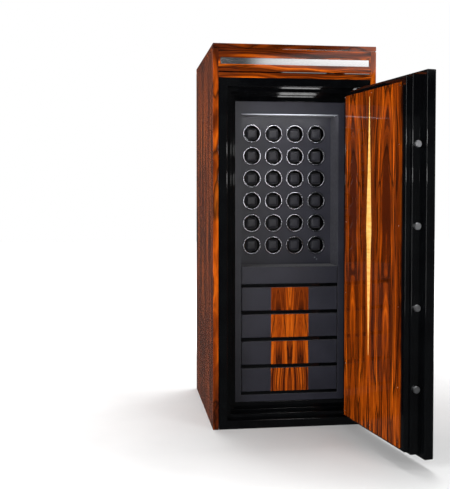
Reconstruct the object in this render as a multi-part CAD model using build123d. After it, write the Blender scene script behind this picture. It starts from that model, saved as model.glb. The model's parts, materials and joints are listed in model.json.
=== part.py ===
from build123d import *
import math
import os

# Watch winder cabinet: a wood-clad steel safe with a stepped door, 24 winders over four drawers.
# Millimetres. x runs to the right, y from front to back and z up; the origin is the middle of the base.
# A depth is measured back from the cabinet's front plane, so the door stands at small negative depths.
# The door, its handle and its bolts are drawn shut and then swung to the open position they are stored in.

# Casing
WIDTH = 670.0
DEPTH = 690.0
HEIGHT = 1550.0
SIDE_THICK = 22.0
TOP_THICK = 18.0
SHADOW_GAP = 3.0
SHADOW_INSET = 6.0
FASCIA_HEIGHT = 114.0
FASCIA_THICK = 18.0
WOOD_ROUND = 1.5
GROOVE_RISE = 20.0
GROOVE_HEIGHT = 5.0
GROOVE_DEPTH = 9.0
STRIP_RISE = 53.0
STRIP_HEIGHT = 26.0
STRIP_MARGIN = 8.0
STRIP_THICK = 3.0
STRIP_RECESS = 2.0
SHELL_PLATE = 10.0
FIT = 0.3
OVERLAP = 1.0

# Door slab and the stepped plug behind it
JAMB_FACE = 34.0
SLAB_BOTTOM = 42.0
FRAME_HEAD = 43.0
SLAB_THICK = 37.0
SLAB_PROUD = 12.0
SLAB_FACE = 12.0
SLAB_RIM = 26.0
SLAB_ROUND = 7.0
STEP1_INSET_X = 24.0
STEP1_INSET_Z = 14.0
STEP1_DEPTH = 41.0
STEP2_INSET = 8.5
STEP2_DEPTH = 20.0
STEP_ROUND = 3.0
STEP_FRAME_ROUND = 1.5
PLUG_FLOOR = 6.0
INNER_PANEL_THICK = 4.0
INNER_PANEL_FREE_MARGIN = 24.5
INNER_PANEL_HINGE_MARGIN = 7.5
INNER_PANEL_FOOT_MARGIN = 7.5
INNER_PANEL_HEAD_MARGIN = 15.5
CAVITY_RIM = 21.0

# Door frame: the gaps that the slab and the plug's steps need, and the lip behind them
FRAME_DEPTH = 100.0
FRAME_JOINT = 3.0
FRAME_PLATE = 12.0
FRAME_ROUND = 3.5
SLAB_GAP = 8.0
STEP1_GAP_X = 14.0
STEP1_GAP_Z = 4.0
STEP2_GAP_X = 6.5
STEP2_GAP_Z = 4.0
BACK_GAP = 2.0
LIP_THICK = 8.0
LIP_SIDE = 10.0
LIP_FOOT = 24.0
LIP_HEAD = 22.0

# Hinges
DOOR_OPEN_DEG = 99.3
HINGE_OUT = 16.0
HINGE_FORWARD = 26.0
KNUCKLE_R = 19.0
PIN_R = 9.0
RUNNING = 0.05
HINGE_LENGTH = 103.0
HINGE_FOOT = 17.0
HINGE_HEAD = 52.0
KNUCKLE_GAP = 0.6
LEAF_THICK = 8.0
LEAF_WIDTH = 63.0
LEAF_HEIGHT = 40.0
PIN_HEAD_R = 13.0
PIN_HEAD_HEIGHT = 6.0
PIN_HEAD_ROUND = 4.5
FOOT_WIDTH = 20.0

# Panel screws and the inlay
SCREW_R = 4.2
SCREW_HEAD = 1.5
SCREW_ROUND = 1.2
SCREW_EDGE = 11.0
SCREW_FOOT = 19.0
INLAY_CENTRE = 24.0
INLAY_FOOT = 278.0
INLAY_WIDE = 828.0
INLAY_HEAD = 24.0
INLAY_HALF = 20.0
INLAY_KNEE_HALF = 17.0
INLAY_KNEE_RISE = 60.0
INLAY_TIP_HALF = 1.2
INLAY_THICK = 1.5

# Boltwork and handle
BOLT_COUNT = 4
BOLT_FOOT = 239.0
BOLT_HEAD = 251.0
BOLT_R = 12.5
BOLT_CHAMFER = 1.5
BOLT_PROUD = 8.0
BOLT_THROW = 20.0
SOCKET_CLEAR = 1.5
SOCKET_END = 3.0
BAR_WIDTH = 14.0
BAR_THICK = 14.0
BAR_OVERRUN = 40.0
HANDLE_BACKSET = 147.5
HANDLE_Z = 726.0
HANDLE_TURN_DEG = 90.0
HUB_R = 19.0
LEVER_WIDTH = 30.0
LEVER_THICK = 14.0
LEVER_REACH = 129.0
LEVER_STANDOFF = 47.0
LEVER_ROUND = 3.0
ROSE_R = 25.0
ROSE_THICK = 5.0
ROSE_ROUND = 2.0
SPINDLE_R = 8.0
SPINDLE_HOLE_CLEAR = 1.0
HUB_GAP = 0.5
CASE_HALF_WIDTH = 19.5
CASE_HEIGHT = 80.0
CASE_DEPTH = 32.0
CASE_TO_BAR = 6.0
CRANK_THICK = 5.0
CRANK_PIN_R = 4.0
CRANK_PIN_LENGTH = 11.0
SLOT_CLEAR = 0.8
LUG_THICK = 6.0
LUG_EDGE = 9.0

# Fingerprint reader
READER_X = 55.0
READER_Z = 708.0
READER_R = 45.0
READER_RING_WIDTH = 7.0
READER_ROUND = 2.8
READER_PROUD = 13.0
READER_DISH = 3.0
SENSOR_WIDTH = 30.0
SENSOR_HEIGHT = 41.0
SENSOR_SINK = 2.0

# Face frame and winder bay
LINER_THICK = 18.0
LINER_ROUND = 2.0
LINER_SHOW = 26.0
BAY_HEAD = 49.5
BAY_SILL = 71.6
BAY_DEPTH = 124.0
RETURN_THICK = 8.0
BAY_RAIL_RECESS = 8.0

# Winders
COLUMNS = 4
ROWS = 6
COLUMN_SIDE_EXTRA = 10.25
ROW_PITCH = 96.0
TOP_ROW_DROP = 74.0
BOTTOM_ROW_RISE = 82.0
WINDER_PLATE = 12.0
RING_R = 39.25
RING_BORE_R = 33.5
RING_SLEEVE = 2.5
RING_PROUD = 5.0
RING_ROUND = 1.8
CASSETTE_WALL = 8.0
CASSETTE_DEPTH = 100.0
CUSHION_SINK = 9.0
CUSHION_SIZE = 50.0
CUSHION_DEPTH = 38.0
CUSHION_PULL = 1.6
CUSHION_CORNER = 13.0
CUSHION_FULLEST = 0.35
CUSHION_FRONT_CROWN = 0.38
CUSHION_BACK_CROWN = 0.2
CUSHION_STATIONS = 6
TURNTABLE_R = 31.0
TURNTABLE_THICK = 6.0
SHAFT_R = 4.0
SHAFT_LENGTH = 26.0
MOTOR_SIZE = 42.0
MOTOR_GAP = 12.0
MOTOR_BORE_EXTRA = 2.0
CHASSIS_THICK = 4.0
LAMP_R = 2.5
LAMP_HEIGHT = 1.5
LAMP_ROUND = 0.9
LAMP_PLACES = ((-5.0, 28.0), (4.0, 20.0))
LIGHT_BAR_MARGIN = 3.0
LIGHT_BAR_BACK = 4.0
LIGHT_BAR_DEPTH = 8.0
LIGHT_BAR_HEIGHT = 4.0

# Drawers
DRAWER_COUNT = 4
WELL_FOOT = 26.7
DRAWER_GAP = 16.8
DRAWER_SIDE_GAP = 3.0
DRAWER_FRONT_THICK = 18.0
DRAWER_ROUND = 2.0
DRAWER_BOX_DEPTH = 420.0
DRAWER_BOX_INSET = 13.0
DRAWER_WALL = 10.0
DRAWER_FLOOR = 6.0
DRAWER_BOX_FOOT = 5.0
DRAWER_BOX_HEAD = 12.0
STRIPE_HALF = 80.0
STRIPE_THICK = 3.0
STRIPE_PROUD = 0.5
RAIL_THICK = 12.0
RAIL_RECESS = 6.0
RAIL_BACK_CLEAR = 8.0
RUNNER_HEIGHT = 14.0
RUNNER_CLEAR = 0.4
CARCASS_WALL = 8.0

# Power inlet in the back wall
INLET_SIDE = 69.0
INLET_Z = 124.0
INLET_WIDTH = 47.0
INLET_HEIGHT = 27.0
INLET_DEPTH = 22.0
INLET_FLANGE = 2.0
INLET_FLANGE_THICK = 3.0
INLET_SOCKET_WIDTH = 25.0
INLET_SOCKET_HEIGHT = 16.0
INLET_SOCKET_DEPTH = 15.0
INLET_BLADE = 2.0
INLET_BLADE_HEIGHT = 4.0
INLET_BLADE_LENGTH = 13.0
INLET_BLADE_PITCH = 7.0
INLET_BLADE_RISE = 2.0

# Places that follow from the sizes above
FRONT = -DEPTH / 2
CASE_HALF = WIDTH / 2 - SIDE_THICK
CASE_TOP = HEIGHT - TOP_THICK - SHADOW_GAP
FRAME_TOP = CASE_TOP - FASCIA_HEIGHT
FRAME_HALF = CASE_HALF - FRAME_JOINT
SHELL_HALF = CASE_HALF - SHELL_PLATE
SLAB_HALF = FRAME_HALF - JAMB_FACE - SLAB_GAP
SLAB_TOP = FRAME_TOP - FRAME_HEAD
SLAB_BACK = SLAB_THICK - SLAB_PROUD
STEP1_HALF = SLAB_HALF - STEP1_INSET_X
STEP1_BACK = SLAB_BACK + STEP1_DEPTH
STEP1_Z = (SLAB_BOTTOM + STEP1_INSET_Z, SLAB_TOP - STEP1_INSET_Z)
STEP2_HALF = STEP1_HALF - STEP2_INSET
STEP2_BACK = STEP1_BACK + STEP2_DEPTH
STEP2_Z = (STEP1_Z[0] + STEP2_INSET, STEP1_Z[1] - STEP2_INSET)
PANEL_X = (-STEP2_HALF + INNER_PANEL_FREE_MARGIN, STEP2_HALF - INNER_PANEL_HINGE_MARGIN)
PANEL_Z = (STEP2_Z[0] + INNER_PANEL_FOOT_MARGIN, STEP2_Z[1] - INNER_PANEL_HEAD_MARGIN)
PANEL_BACK = STEP2_BACK + INNER_PANEL_THICK
INLAY_BOTTOM = PANEL_Z[0] + INLAY_FOOT
INLAY_TOP = PANEL_Z[1] - INLAY_HEAD
CAVITY_X = (PANEL_X[0] + CAVITY_RIM, PANEL_X[1] - CAVITY_RIM)
CAVITY_Z = (PANEL_Z[0] + SCREW_FOOT + CAVITY_RIM, PANEL_Z[1] - SCREW_EDGE - CAVITY_RIM)
CAVITY_FRONT = SLAB_BACK + PLUG_FLOOR
HINGE_X = SLAB_HALF + HINGE_OUT
HINGE_DEPTH = -HINGE_FORWARD
HINGE_BOTTOMS = (SLAB_BOTTOM + HINGE_FOOT, SLAB_TOP - HINGE_HEAD - HINGE_LENGTH)
BOLT_DEPTH = (SLAB_BACK + STEP1_BACK) / 2
BOLT_FIRST = SLAB_BOTTOM + BOLT_FOOT
BOLT_PITCH = (SLAB_TOP - BOLT_HEAD - BOLT_FIRST) / (BOLT_COUNT - 1)
BOLT_HEIGHTS = [BOLT_FIRST + k * BOLT_PITCH for k in range(BOLT_COUNT)]
HANDLE_X = -SLAB_HALF + HANDLE_BACKSET
BAR_RIGHT = HANDLE_X - CASE_HALF_WIDTH - CASE_TO_BAR
BAR_LEFT = BAR_RIGHT - BAR_WIDTH
LINER_FRONT = FRAME_DEPTH
LINER_BACK = LINER_FRONT + LINER_THICK
LIP_HALF = STEP2_HALF + STEP2_GAP_X - LIP_SIDE
LIP_Z = (STEP2_Z[0] - STEP2_GAP_Z + LIP_FOOT, STEP2_Z[1] + STEP2_GAP_Z - LIP_HEAD)
BAY_HALF = LIP_HALF - LINER_SHOW
BAY_TOP = LIP_Z[1] - BAY_HEAD
BAY_BOTTOM = BAY_TOP - TOP_ROW_DROP - (ROWS - 1) * ROW_PITCH - BOTTOM_ROW_RISE
COLUMN_GAP = 2 * (BAY_HALF - COLUMN_SIDE_EXTRA - COLUMNS * RING_R) / (COLUMNS + 1)
COLUMN_PITCH = 2 * RING_R + COLUMN_GAP
WINDER_FRONT = LINER_FRONT + BAY_DEPTH
WINDER_BACK = WINDER_FRONT + WINDER_PLATE
CASSETTE_BACK = WINDER_FRONT + CASSETTE_DEPTH
CASSETTE_HALF = BAY_HALF + RETURN_THICK
CASSETTE_Z = (BAY_BOTTOM - RETURN_THICK, BAY_TOP + RETURN_THICK)
CUSHION_FRONT = WINDER_FRONT - RING_PROUD + CUSHION_SINK
TURNTABLE_FRONT = CUSHION_FRONT + CUSHION_DEPTH
TURNTABLE_BACK = TURNTABLE_FRONT + TURNTABLE_THICK
DRAWER_HALF = BAY_HALF - DRAWER_SIDE_GAP
DRAWER_BOX_HALF = DRAWER_HALF - DRAWER_BOX_INSET
DRAWER_BOX_BACK = LINER_FRONT + DRAWER_FRONT_THICK + DRAWER_BOX_DEPTH
CARCASS_BACK = DRAWER_BOX_BACK + RAIL_BACK_CLEAR
RAIL_OFFSET = (DRAWER_GAP - RAIL_THICK) / 2
WELL_BOTTOM = LIP_Z[0] + WELL_FOOT
WELL_TOP = BAY_BOTTOM - BAY_SILL
DRAWER_PITCH = (WELL_TOP - WELL_BOTTOM - RAIL_THICK) / DRAWER_COUNT
DRAWER_HEIGHT = DRAWER_PITCH - DRAWER_GAP
DRAWER_TOP = WELL_TOP - RAIL_THICK - RAIL_OFFSET
INLET_X = CASE_HALF - INLET_SIDE


def block(x, depth, z):
    """Box between two places on each axis, given as (low, high) pairs."""
    size = (x[1] - x[0], depth[1] - depth[0], z[1] - z[0])
    centre = Pos((x[0] + x[1]) / 2, FRONT + (depth[0] + depth[1]) / 2, (z[0] + z[1]) / 2)
    return centre * Box(*size)


def both(half):
    """Pair of places the same distance to the left and right of the middle."""
    return (-half, half)


def rod_x(depth, z, radius, x):
    """Round bar along x."""
    centre = Pos((x[0] + x[1]) / 2, FRONT + depth, z)
    return centre * Rot(0, 90, 0) * Cylinder(radius, x[1] - x[0])


def rod_y(x, z, radius, depth):
    """Round bar along y."""
    centre = Pos(x, FRONT + (depth[0] + depth[1]) / 2, z)
    return centre * Rot(90, 0, 0) * Cylinder(radius, depth[1] - depth[0])


def rod_z(x, depth, radius, z):
    """Round bar along z."""
    return Pos(x, FRONT + depth, (z[0] + z[1]) / 2) * Cylinder(radius, z[1] - z[0])


def edges_at_depth(shape, depth, tolerance=0.01):
    """Edges of a shape that lie flat at one depth."""
    place = FRONT + depth
    chosen = []
    for edge in shape.edges():
        bounds = edge.bounding_box()
        if abs(bounds.min.Y - place) < tolerance and abs(bounds.max.Y - place) < tolerance:
            chosen.append(edge)
    return ShapeList(chosen)


def rim_edges(shape, depth, half, z, slack=0.5):
    """Edges at one depth that run no further out than an opening of the given half width and heights."""
    chosen = []
    for edge in edges_at_depth(shape, depth):
        bounds = edge.bounding_box()
        fits_x = max(abs(bounds.min.X), abs(bounds.max.X)) < half + slack
        fits_z = bounds.min.Z > z[0] - slack and bounds.max.Z < z[1] + slack
        if fits_x and fits_z:
            chosen.append(edge)
    return ShapeList(chosen)


def swung(shape):
    """Turn a door piece from shut to the open position it is stored in."""
    hinge = Pos(HINGE_X, FRONT + HINGE_DEPTH, 0)
    back = Pos(-HINGE_X, -FRONT - HINGE_DEPTH, 0)
    return hinge * Rot(0, 0, DOOR_OPEN_DEG) * back * shape


def side_panel(side):
    low, high = sorted((side * CASE_HALF, side * WIDTH / 2))
    panel = block((low, high), (0, DEPTH), (0, CASE_TOP))
    return fillet(edges_at_depth(panel, 0).filter_by(Axis.Z), WOOD_ROUND)


def top_panel():
    board = block(both(WIDTH / 2), (0, DEPTH), (HEIGHT - TOP_THICK, HEIGHT))
    board = fillet(board.edges(), WOOD_ROUND)
    rim = (SHADOW_INSET, DEPTH - SHADOW_INSET)
    return board + block(both(WIDTH / 2 - SHADOW_INSET), rim, (CASE_TOP, HEIGHT - TOP_THICK))


def front_fascia():
    board = block(both(CASE_HALF), (0, FASCIA_THICK), (FRAME_TOP, CASE_TOP))
    groove = (FRAME_TOP + GROOVE_RISE, FRAME_TOP + GROOVE_RISE + GROOVE_HEIGHT)
    slot = (FRAME_TOP + STRIP_RISE, FRAME_TOP + STRIP_RISE + STRIP_HEIGHT)
    board -= block(both(CASE_HALF), (0, GROOVE_DEPTH), groove)
    return board - block(both(CASE_HALF - STRIP_MARGIN), (0, STRIP_RECESS + STRIP_THICK), slot)


def trim_strip():
    height = (FRAME_TOP + STRIP_RISE + FIT, FRAME_TOP + STRIP_RISE + STRIP_HEIGHT - FIT)
    depth = (STRIP_RECESS, STRIP_RECESS + STRIP_THICK)
    return block(both(CASE_HALF - STRIP_MARGIN - FIT), depth, height)


def door_frame():
    """Stepped jamb of folded plate: solid at the front, open channel behind, lip round the inside."""
    frame = block(both(FRAME_HALF), (0, FRAME_DEPTH), (0, FRAME_TOP))
    slab_end = SLAB_BACK + BACK_GAP
    step1_end = STEP1_BACK + BACK_GAP
    step2_end = FRAME_DEPTH - LIP_THICK
    slab_z = (SLAB_BOTTOM - SLAB_GAP, SLAB_TOP + SLAB_GAP)
    step1_half = STEP1_HALF + STEP1_GAP_X
    step1_z = (STEP1_Z[0] - STEP1_GAP_Z, STEP1_Z[1] + STEP1_GAP_Z)
    step2_half = STEP2_HALF + STEP2_GAP_X
    step2_z = (STEP2_Z[0] - STEP2_GAP_Z, STEP2_Z[1] + STEP2_GAP_Z)
    channel = (slab_end + FRAME_PLATE, FRAME_DEPTH)
    outer = block(both(FRAME_HALF - FRAME_PLATE), channel, (FRAME_PLATE, FRAME_TOP - FRAME_PLATE))
    core_z = (step1_z[0] - FRAME_PLATE, step1_z[1] + FRAME_PLATE)
    frame -= outer - block(both(step1_half + FRAME_PLATE), channel, core_z)
    frame -= block(both(SLAB_HALF + SLAB_GAP), (0, slab_end), slab_z)
    frame -= block(both(step1_half), (0, step1_end), step1_z)
    frame -= block(both(step2_half), (0, step2_end), step2_z)
    frame -= block(both(LIP_HALF), (0, FRAME_DEPTH), LIP_Z)
    frame = fillet(rim_edges(frame, 0, SLAB_HALF + SLAB_GAP, slab_z), FRAME_ROUND)
    frame = fillet(rim_edges(frame, slab_end, step1_half, step1_z), STEP_FRAME_ROUND)
    frame = fillet(rim_edges(frame, step1_end, step2_half, step2_z), STEP_FRAME_ROUND)
    frame = fillet(rim_edges(frame, step2_end, LIP_HALF, LIP_Z), STEP_FRAME_ROUND)
    tip = -(STEP1_HALF + BOLT_PROUD + BOLT_THROW + SOCKET_END)
    for z in BOLT_HEIGHTS:
        frame -= rod_x(BOLT_DEPTH, z, BOLT_R + SOCKET_CLEAR, (tip, -step1_half + OVERLAP))
    return frame


def safe_shell():
    """Steel body behind the frame, with a closed space above the safe for the fascia's back."""
    shell = block(both(CASE_HALF), (FRAME_DEPTH, DEPTH), (0, CASE_TOP))
    room = (FRAME_DEPTH, DEPTH - SHELL_PLATE)
    shell -= block(both(SHELL_HALF), room, (SHELL_PLATE, FRAME_TOP - SHELL_PLATE))
    shell -= block(both(SHELL_HALF), room, (FRAME_TOP, CASE_TOP - SHELL_PLATE))
    cut_x = (INLET_X - INLET_WIDTH / 2, INLET_X + INLET_WIDTH / 2)
    cut_z = (INLET_Z - INLET_HEIGHT / 2, INLET_Z + INLET_HEIGHT / 2)
    return shell - block(cut_x, (DEPTH - SHELL_PLATE - OVERLAP, DEPTH), cut_z)


def power_inlet():
    """Mains inlet let into the back wall, with its three blades."""
    x = (INLET_X - INLET_WIDTH / 2 + FIT, INLET_X + INLET_WIDTH / 2 - FIT)
    z = (INLET_Z - INLET_HEIGHT / 2 + FIT, INLET_Z + INLET_HEIGHT / 2 - FIT)
    body = block(x, (DEPTH - INLET_DEPTH, DEPTH), z)
    flange_x = (x[0] - INLET_FLANGE, x[1] + INLET_FLANGE)
    flange_z = (z[0] - INLET_FLANGE, z[1] + INLET_FLANGE)
    body += block(flange_x, (DEPTH - SHELL_PLATE - INLET_FLANGE_THICK, DEPTH - SHELL_PLATE), flange_z)
    socket_x = (INLET_X - INLET_SOCKET_WIDTH / 2, INLET_X + INLET_SOCKET_WIDTH / 2)
    socket_z = (INLET_Z - INLET_SOCKET_HEIGHT / 2, INLET_Z + INLET_SOCKET_HEIGHT / 2)
    socket_floor = DEPTH - INLET_SOCKET_DEPTH
    body -= block(socket_x, (socket_floor, DEPTH), socket_z)
    for column, rise in ((-1, -INLET_BLADE_RISE), (0, INLET_BLADE_RISE), (1, -INLET_BLADE_RISE)):
        x_mid = INLET_X + column * INLET_BLADE_PITCH
        z_mid = INLET_Z + rise
        blade_x = (x_mid - INLET_BLADE / 2, x_mid + INLET_BLADE / 2)
        blade_z = (z_mid - INLET_BLADE_HEIGHT / 2, z_mid + INLET_BLADE_HEIGHT / 2)
        body += block(blade_x, (socket_floor - OVERLAP, socket_floor + INLET_BLADE_LENGTH), blade_z)
    return body


def door_slab():
    """Steel tray: a rounded face plate and a rim, closed behind by the plug's floor."""
    slab = block(both(SLAB_HALF), (-SLAB_PROUD, SLAB_BACK), (SLAB_BOTTOM, SLAB_TOP))
    slab = fillet(edges_at_depth(slab, -SLAB_PROUD), SLAB_ROUND)
    slab = fillet(edges_at_depth(slab, SLAB_BACK), STEP_ROUND)
    rim = SLAB_RIM + STEP1_INSET_X
    tray = (SLAB_FACE - SLAB_PROUD, SLAB_BACK)
    slab -= block(both(SLAB_HALF - rim), tray, (SLAB_BOTTOM + rim, SLAB_TOP - rim))
    slab += rod_y(HANDLE_X, HANDLE_Z, ROSE_R, tray)
    return slab - rod_y(HANDLE_X, HANDLE_Z, SPINDLE_R + SPINDLE_HOLE_CLEAR, (-SLAB_PROUD, SLAB_BACK))


def door_plug():
    """Stepped block behind the slab, hollow for the boltwork and open towards the inner panel."""
    plug = block(both(STEP1_HALF), (SLAB_BACK, STEP1_BACK), STEP1_Z)
    plug = fillet(edges_at_depth(plug, STEP1_BACK), STEP_ROUND)
    step = block(both(STEP2_HALF), (STEP1_BACK, STEP2_BACK), STEP2_Z)
    plug += fillet(edges_at_depth(step, STEP2_BACK), STEP_ROUND)
    plug -= block(CAVITY_X, (CAVITY_FRONT, STEP2_BACK), CAVITY_Z)
    plug -= rod_y(HANDLE_X, HANDLE_Z, SPINDLE_R + SPINDLE_HOLE_CLEAR, (SLAB_BACK, CAVITY_FRONT))
    for z in BOLT_HEIGHTS:
        plug -= rod_x(BOLT_DEPTH, z, BOLT_R + RUNNING, (-STEP1_HALF, CAVITY_X[0]))
    return plug


def spindle_inlay():
    """Spindle let into the inner panel: straight stretches and two arcs at its widest place."""
    knees = (INLAY_WIDE + INLAY_KNEE_RISE, INLAY_WIDE - INLAY_KNEE_RISE)
    left = [(-INLAY_TIP_HALF, INLAY_TOP), (-INLAY_KNEE_HALF, knees[0]), (-INLAY_KNEE_HALF, knees[1])]
    left.append((-INLAY_TIP_HALF, INLAY_BOTTOM))
    right = [(-x, z) for x, z in reversed(left)]
    top = Line(right[-1], left[0])
    bottom = Line(left[-1], right[0])
    sides = [
        Line(left[0], left[1]),
        ThreePointArc(left[1], (-INLAY_HALF, INLAY_WIDE), left[2]),
        Line(left[2], left[3]),
        Line(right[0], right[1]),
        ThreePointArc(right[1], (INLAY_HALF, INLAY_WIDE), right[2]),
        Line(right[2], right[3]),
    ]
    inlay = extrude(make_face(Curve() + [top, bottom] + sides), INLAY_THICK)
    return Pos(INLAY_CENTRE, FRONT + PANEL_BACK, 0) * Rot(90, 0, 0) * inlay


def inner_panel():
    panel = block(PANEL_X, (STEP2_BACK, PANEL_BACK), PANEL_Z)
    return panel - spindle_inlay()


def screw_places():
    """Columns of screws at both sides, at the bolt heights and the ends, and one at mid top and bottom."""
    ends = [PANEL_Z[0] + SCREW_FOOT, PANEL_Z[1] - SCREW_EDGE]
    places = []
    for x in (PANEL_X[0] + SCREW_EDGE, PANEL_X[1] - SCREW_EDGE):
        places += [(x, z) for z in ends + BOLT_HEIGHTS]
    middle = (PANEL_X[0] + PANEL_X[1]) / 2
    return places + [(middle, z) for z in ends]


def panel_screws():
    heads = []
    for x, z in screw_places():
        head = rod_y(x, z, SCREW_R, (PANEL_BACK, PANEL_BACK + SCREW_HEAD))
        heads.append(fillet(edges_at_depth(head, PANEL_BACK + SCREW_HEAD), SCREW_ROUND))
    return Compound(children=heads)


def knuckle_halves(bottom):
    """Heights of a hinge's lower knuckle, on the frame, and of its upper knuckle, on the door."""
    middle = bottom + HINGE_LENGTH / 2
    return (bottom, middle - KNUCKLE_GAP / 2), (middle + KNUCKLE_GAP / 2, bottom + HINGE_LENGTH)


def hinge_brackets():
    """Frame halves of the hinges: knuckle, foot and the pin with its domed head."""
    brackets = []
    for bottom in HINGE_BOTTOMS:
        lower, upper = knuckle_halves(bottom)
        bracket = rod_z(HINGE_X, HINGE_DEPTH, KNUCKLE_R, lower)
        foot_left = SLAB_HALF + SLAB_GAP + FRAME_ROUND
        bracket += block((foot_left, foot_left + FOOT_WIDTH), (HINGE_DEPTH, 0), lower)
        head_bottom = upper[1] + KNUCKLE_GAP
        bracket += rod_z(HINGE_X, HINGE_DEPTH, PIN_R, (lower[1] - OVERLAP, head_bottom + OVERLAP))
        head = rod_z(HINGE_X, HINGE_DEPTH, PIN_HEAD_R, (head_bottom, head_bottom + PIN_HEAD_HEIGHT))
        rim = head.edges().filter_by(GeomType.CIRCLE).sort_by(Axis.Z)[-1]
        brackets.append(bracket + fillet(rim, PIN_HEAD_ROUND))
    return Compound(children=brackets)


def hinge_leaves():
    """Door halves of the hinges: knuckle and the leaf bolted on the slab's face."""
    leaves = []
    for bottom in HINGE_BOTTOMS:
        upper = knuckle_halves(bottom)[1]
        face = -SLAB_PROUD
        leaf_z = (upper[0], upper[0] + LEAF_HEIGHT)
        leaf = block((SLAB_HALF - LEAF_WIDTH, HINGE_X), (face - LEAF_THICK, face), leaf_z)
        leaf += rod_z(HINGE_X, HINGE_DEPTH, KNUCKLE_R, upper)
        leaves.append(leaf - rod_z(HINGE_X, HINGE_DEPTH, PIN_R + RUNNING, upper))
    return Compound(children=leaves)


def handle_rose():
    face = -SLAB_PROUD
    rose = rod_y(HANDLE_X, HANDLE_Z, ROSE_R, (face - ROSE_THICK, face))
    rose = fillet(edges_at_depth(rose, face - ROSE_THICK), ROSE_ROUND)
    return rose - rod_y(HANDLE_X, HANDLE_Z, SPINDLE_R + RUNNING, (face - ROSE_THICK, face))


def lock_case():
    x = (HANDLE_X - CASE_HALF_WIDTH, HANDLE_X + CASE_HALF_WIDTH)
    z = (HANDLE_Z - CASE_HEIGHT / 2, HANDLE_Z + CASE_HEIGHT / 2)
    depth = (CAVITY_FRONT, CAVITY_FRONT + CASE_DEPTH)
    return block(x, depth, z) - rod_y(HANDLE_X, HANDLE_Z, SPINDLE_R + RUNNING, depth)


def crank_pin_place(turn_deg):
    """Crank pin seen from the front, with the crank set so that the handle's turn gives the bolts' throw."""
    radius = BOLT_THROW / (2 * math.sin(math.radians(HANDLE_TURN_DEG / 2)))
    angle = math.radians(HANDLE_TURN_DEG / 2 - turn_deg)
    return HANDLE_X + radius * math.sin(angle), HANDLE_Z - radius * math.cos(angle)


def lever_handle():
    """Lever, hub, spindle through the door and the crank inside it; the lever hangs down when unlocked."""
    face = -SLAB_PROUD
    front = face - LEVER_STANDOFF
    lever_depth = (front, front + LEVER_THICK)
    half = LEVER_WIDTH / 2
    end_z = HANDLE_Z - LEVER_REACH + half
    lever = block((HANDLE_X - half, HANDLE_X + half), lever_depth, (end_z, HANDLE_Z))
    lever += rod_y(HANDLE_X, end_z, half, lever_depth)
    lever += rod_y(HANDLE_X, HANDLE_Z, HUB_R, (front, face - ROSE_THICK - HUB_GAP))
    lever = fillet(edges_at_depth(lever, front), LEVER_ROUND)
    crank = (CAVITY_FRONT + CASE_DEPTH + HUB_GAP, CAVITY_FRONT + CASE_DEPTH + HUB_GAP + CRANK_THICK)
    lever += rod_y(HANDLE_X, HANDLE_Z, SPINDLE_R, (face - ROSE_THICK - HUB_GAP - OVERLAP, crank[1]))
    pin_x, pin_z = crank_pin_place(0)
    arm_length = math.dist((pin_x, pin_z), (HANDLE_X, HANDLE_Z))
    arm = extrude(SlotCenterToCenter(arm_length, 2 * SPINDLE_R), CRANK_THICK)
    middle = Pos((HANDLE_X + pin_x) / 2, FRONT + crank[1], (HANDLE_Z + pin_z) / 2)
    lever += middle * Rot(90, 0, 0) * Rot(0, 0, HANDLE_TURN_DEG / 2 - 90) * arm
    return lever + rod_y(pin_x, pin_z, CRANK_PIN_R, (crank[1] - OVERLAP, crank[1] + CRANK_PIN_LENGTH))


def lock_bolts():
    """Four bolts on one carriage bar, with the slotted lug that the crank pin moves."""
    bar_z = (BOLT_HEIGHTS[0] - BAR_OVERRUN, BOLT_HEIGHTS[-1] + BAR_OVERRUN)
    bar = block((BAR_LEFT, BAR_RIGHT), (BOLT_DEPTH - BAR_THICK / 2, BOLT_DEPTH + BAR_THICK / 2), bar_z)
    lug_front = CAVITY_FRONT + CASE_DEPTH + HUB_GAP + CRANK_THICK + HUB_GAP
    lug = (lug_front, lug_front + LUG_THICK)
    pin_x, pin_high = crank_pin_place(0)
    pin_low = crank_pin_place(HANDLE_TURN_DEG / 2)[1]
    slot_half = CRANK_PIN_R + SLOT_CLEAR
    slot_z = (pin_low - slot_half, pin_high + slot_half)
    lug_z = (slot_z[0] - LUG_EDGE, slot_z[1] + LUG_EDGE)
    bar += block((BAR_LEFT, pin_x + slot_half + LUG_EDGE), lug, lug_z)
    bar += block((BAR_LEFT, BAR_RIGHT), (BOLT_DEPTH, lug[1]), lug_z)
    bar -= block((pin_x - slot_half, pin_x + slot_half), lug, slot_z)
    pieces = [bar]
    for z in BOLT_HEIGHTS:
        bolt = rod_x(BOLT_DEPTH, z, BOLT_R, (-STEP1_HALF - BOLT_PROUD, BAR_LEFT))
        tip = bolt.edges().filter_by(GeomType.CIRCLE).sort_by(Axis.X)[0]
        pieces.append(chamfer(tip, BOLT_CHAMFER))
    return Compound(children=pieces)


def reader_ring():
    face = -SLAB_PROUD
    ring = rod_y(READER_X, READER_Z, READER_R, (face - READER_PROUD, face))
    ring = fillet(edges_at_depth(ring, face - READER_PROUD), READER_ROUND)
    return ring - rod_y(READER_X, READER_Z, READER_R - READER_RING_WIDTH, (face - READER_PROUD, face))


def reader_pad():
    face = -SLAB_PROUD
    front = face - READER_PROUD + READER_DISH
    pad = rod_y(READER_X, READER_Z, READER_R - READER_RING_WIDTH, (front, face))
    x = (READER_X - SENSOR_WIDTH / 2, READER_X + SENSOR_WIDTH / 2)
    z = (READER_Z - SENSOR_HEIGHT / 2, READER_Z + SENSOR_HEIGHT / 2)
    return pad - block(x, (front, front + SENSOR_SINK), z)


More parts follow.
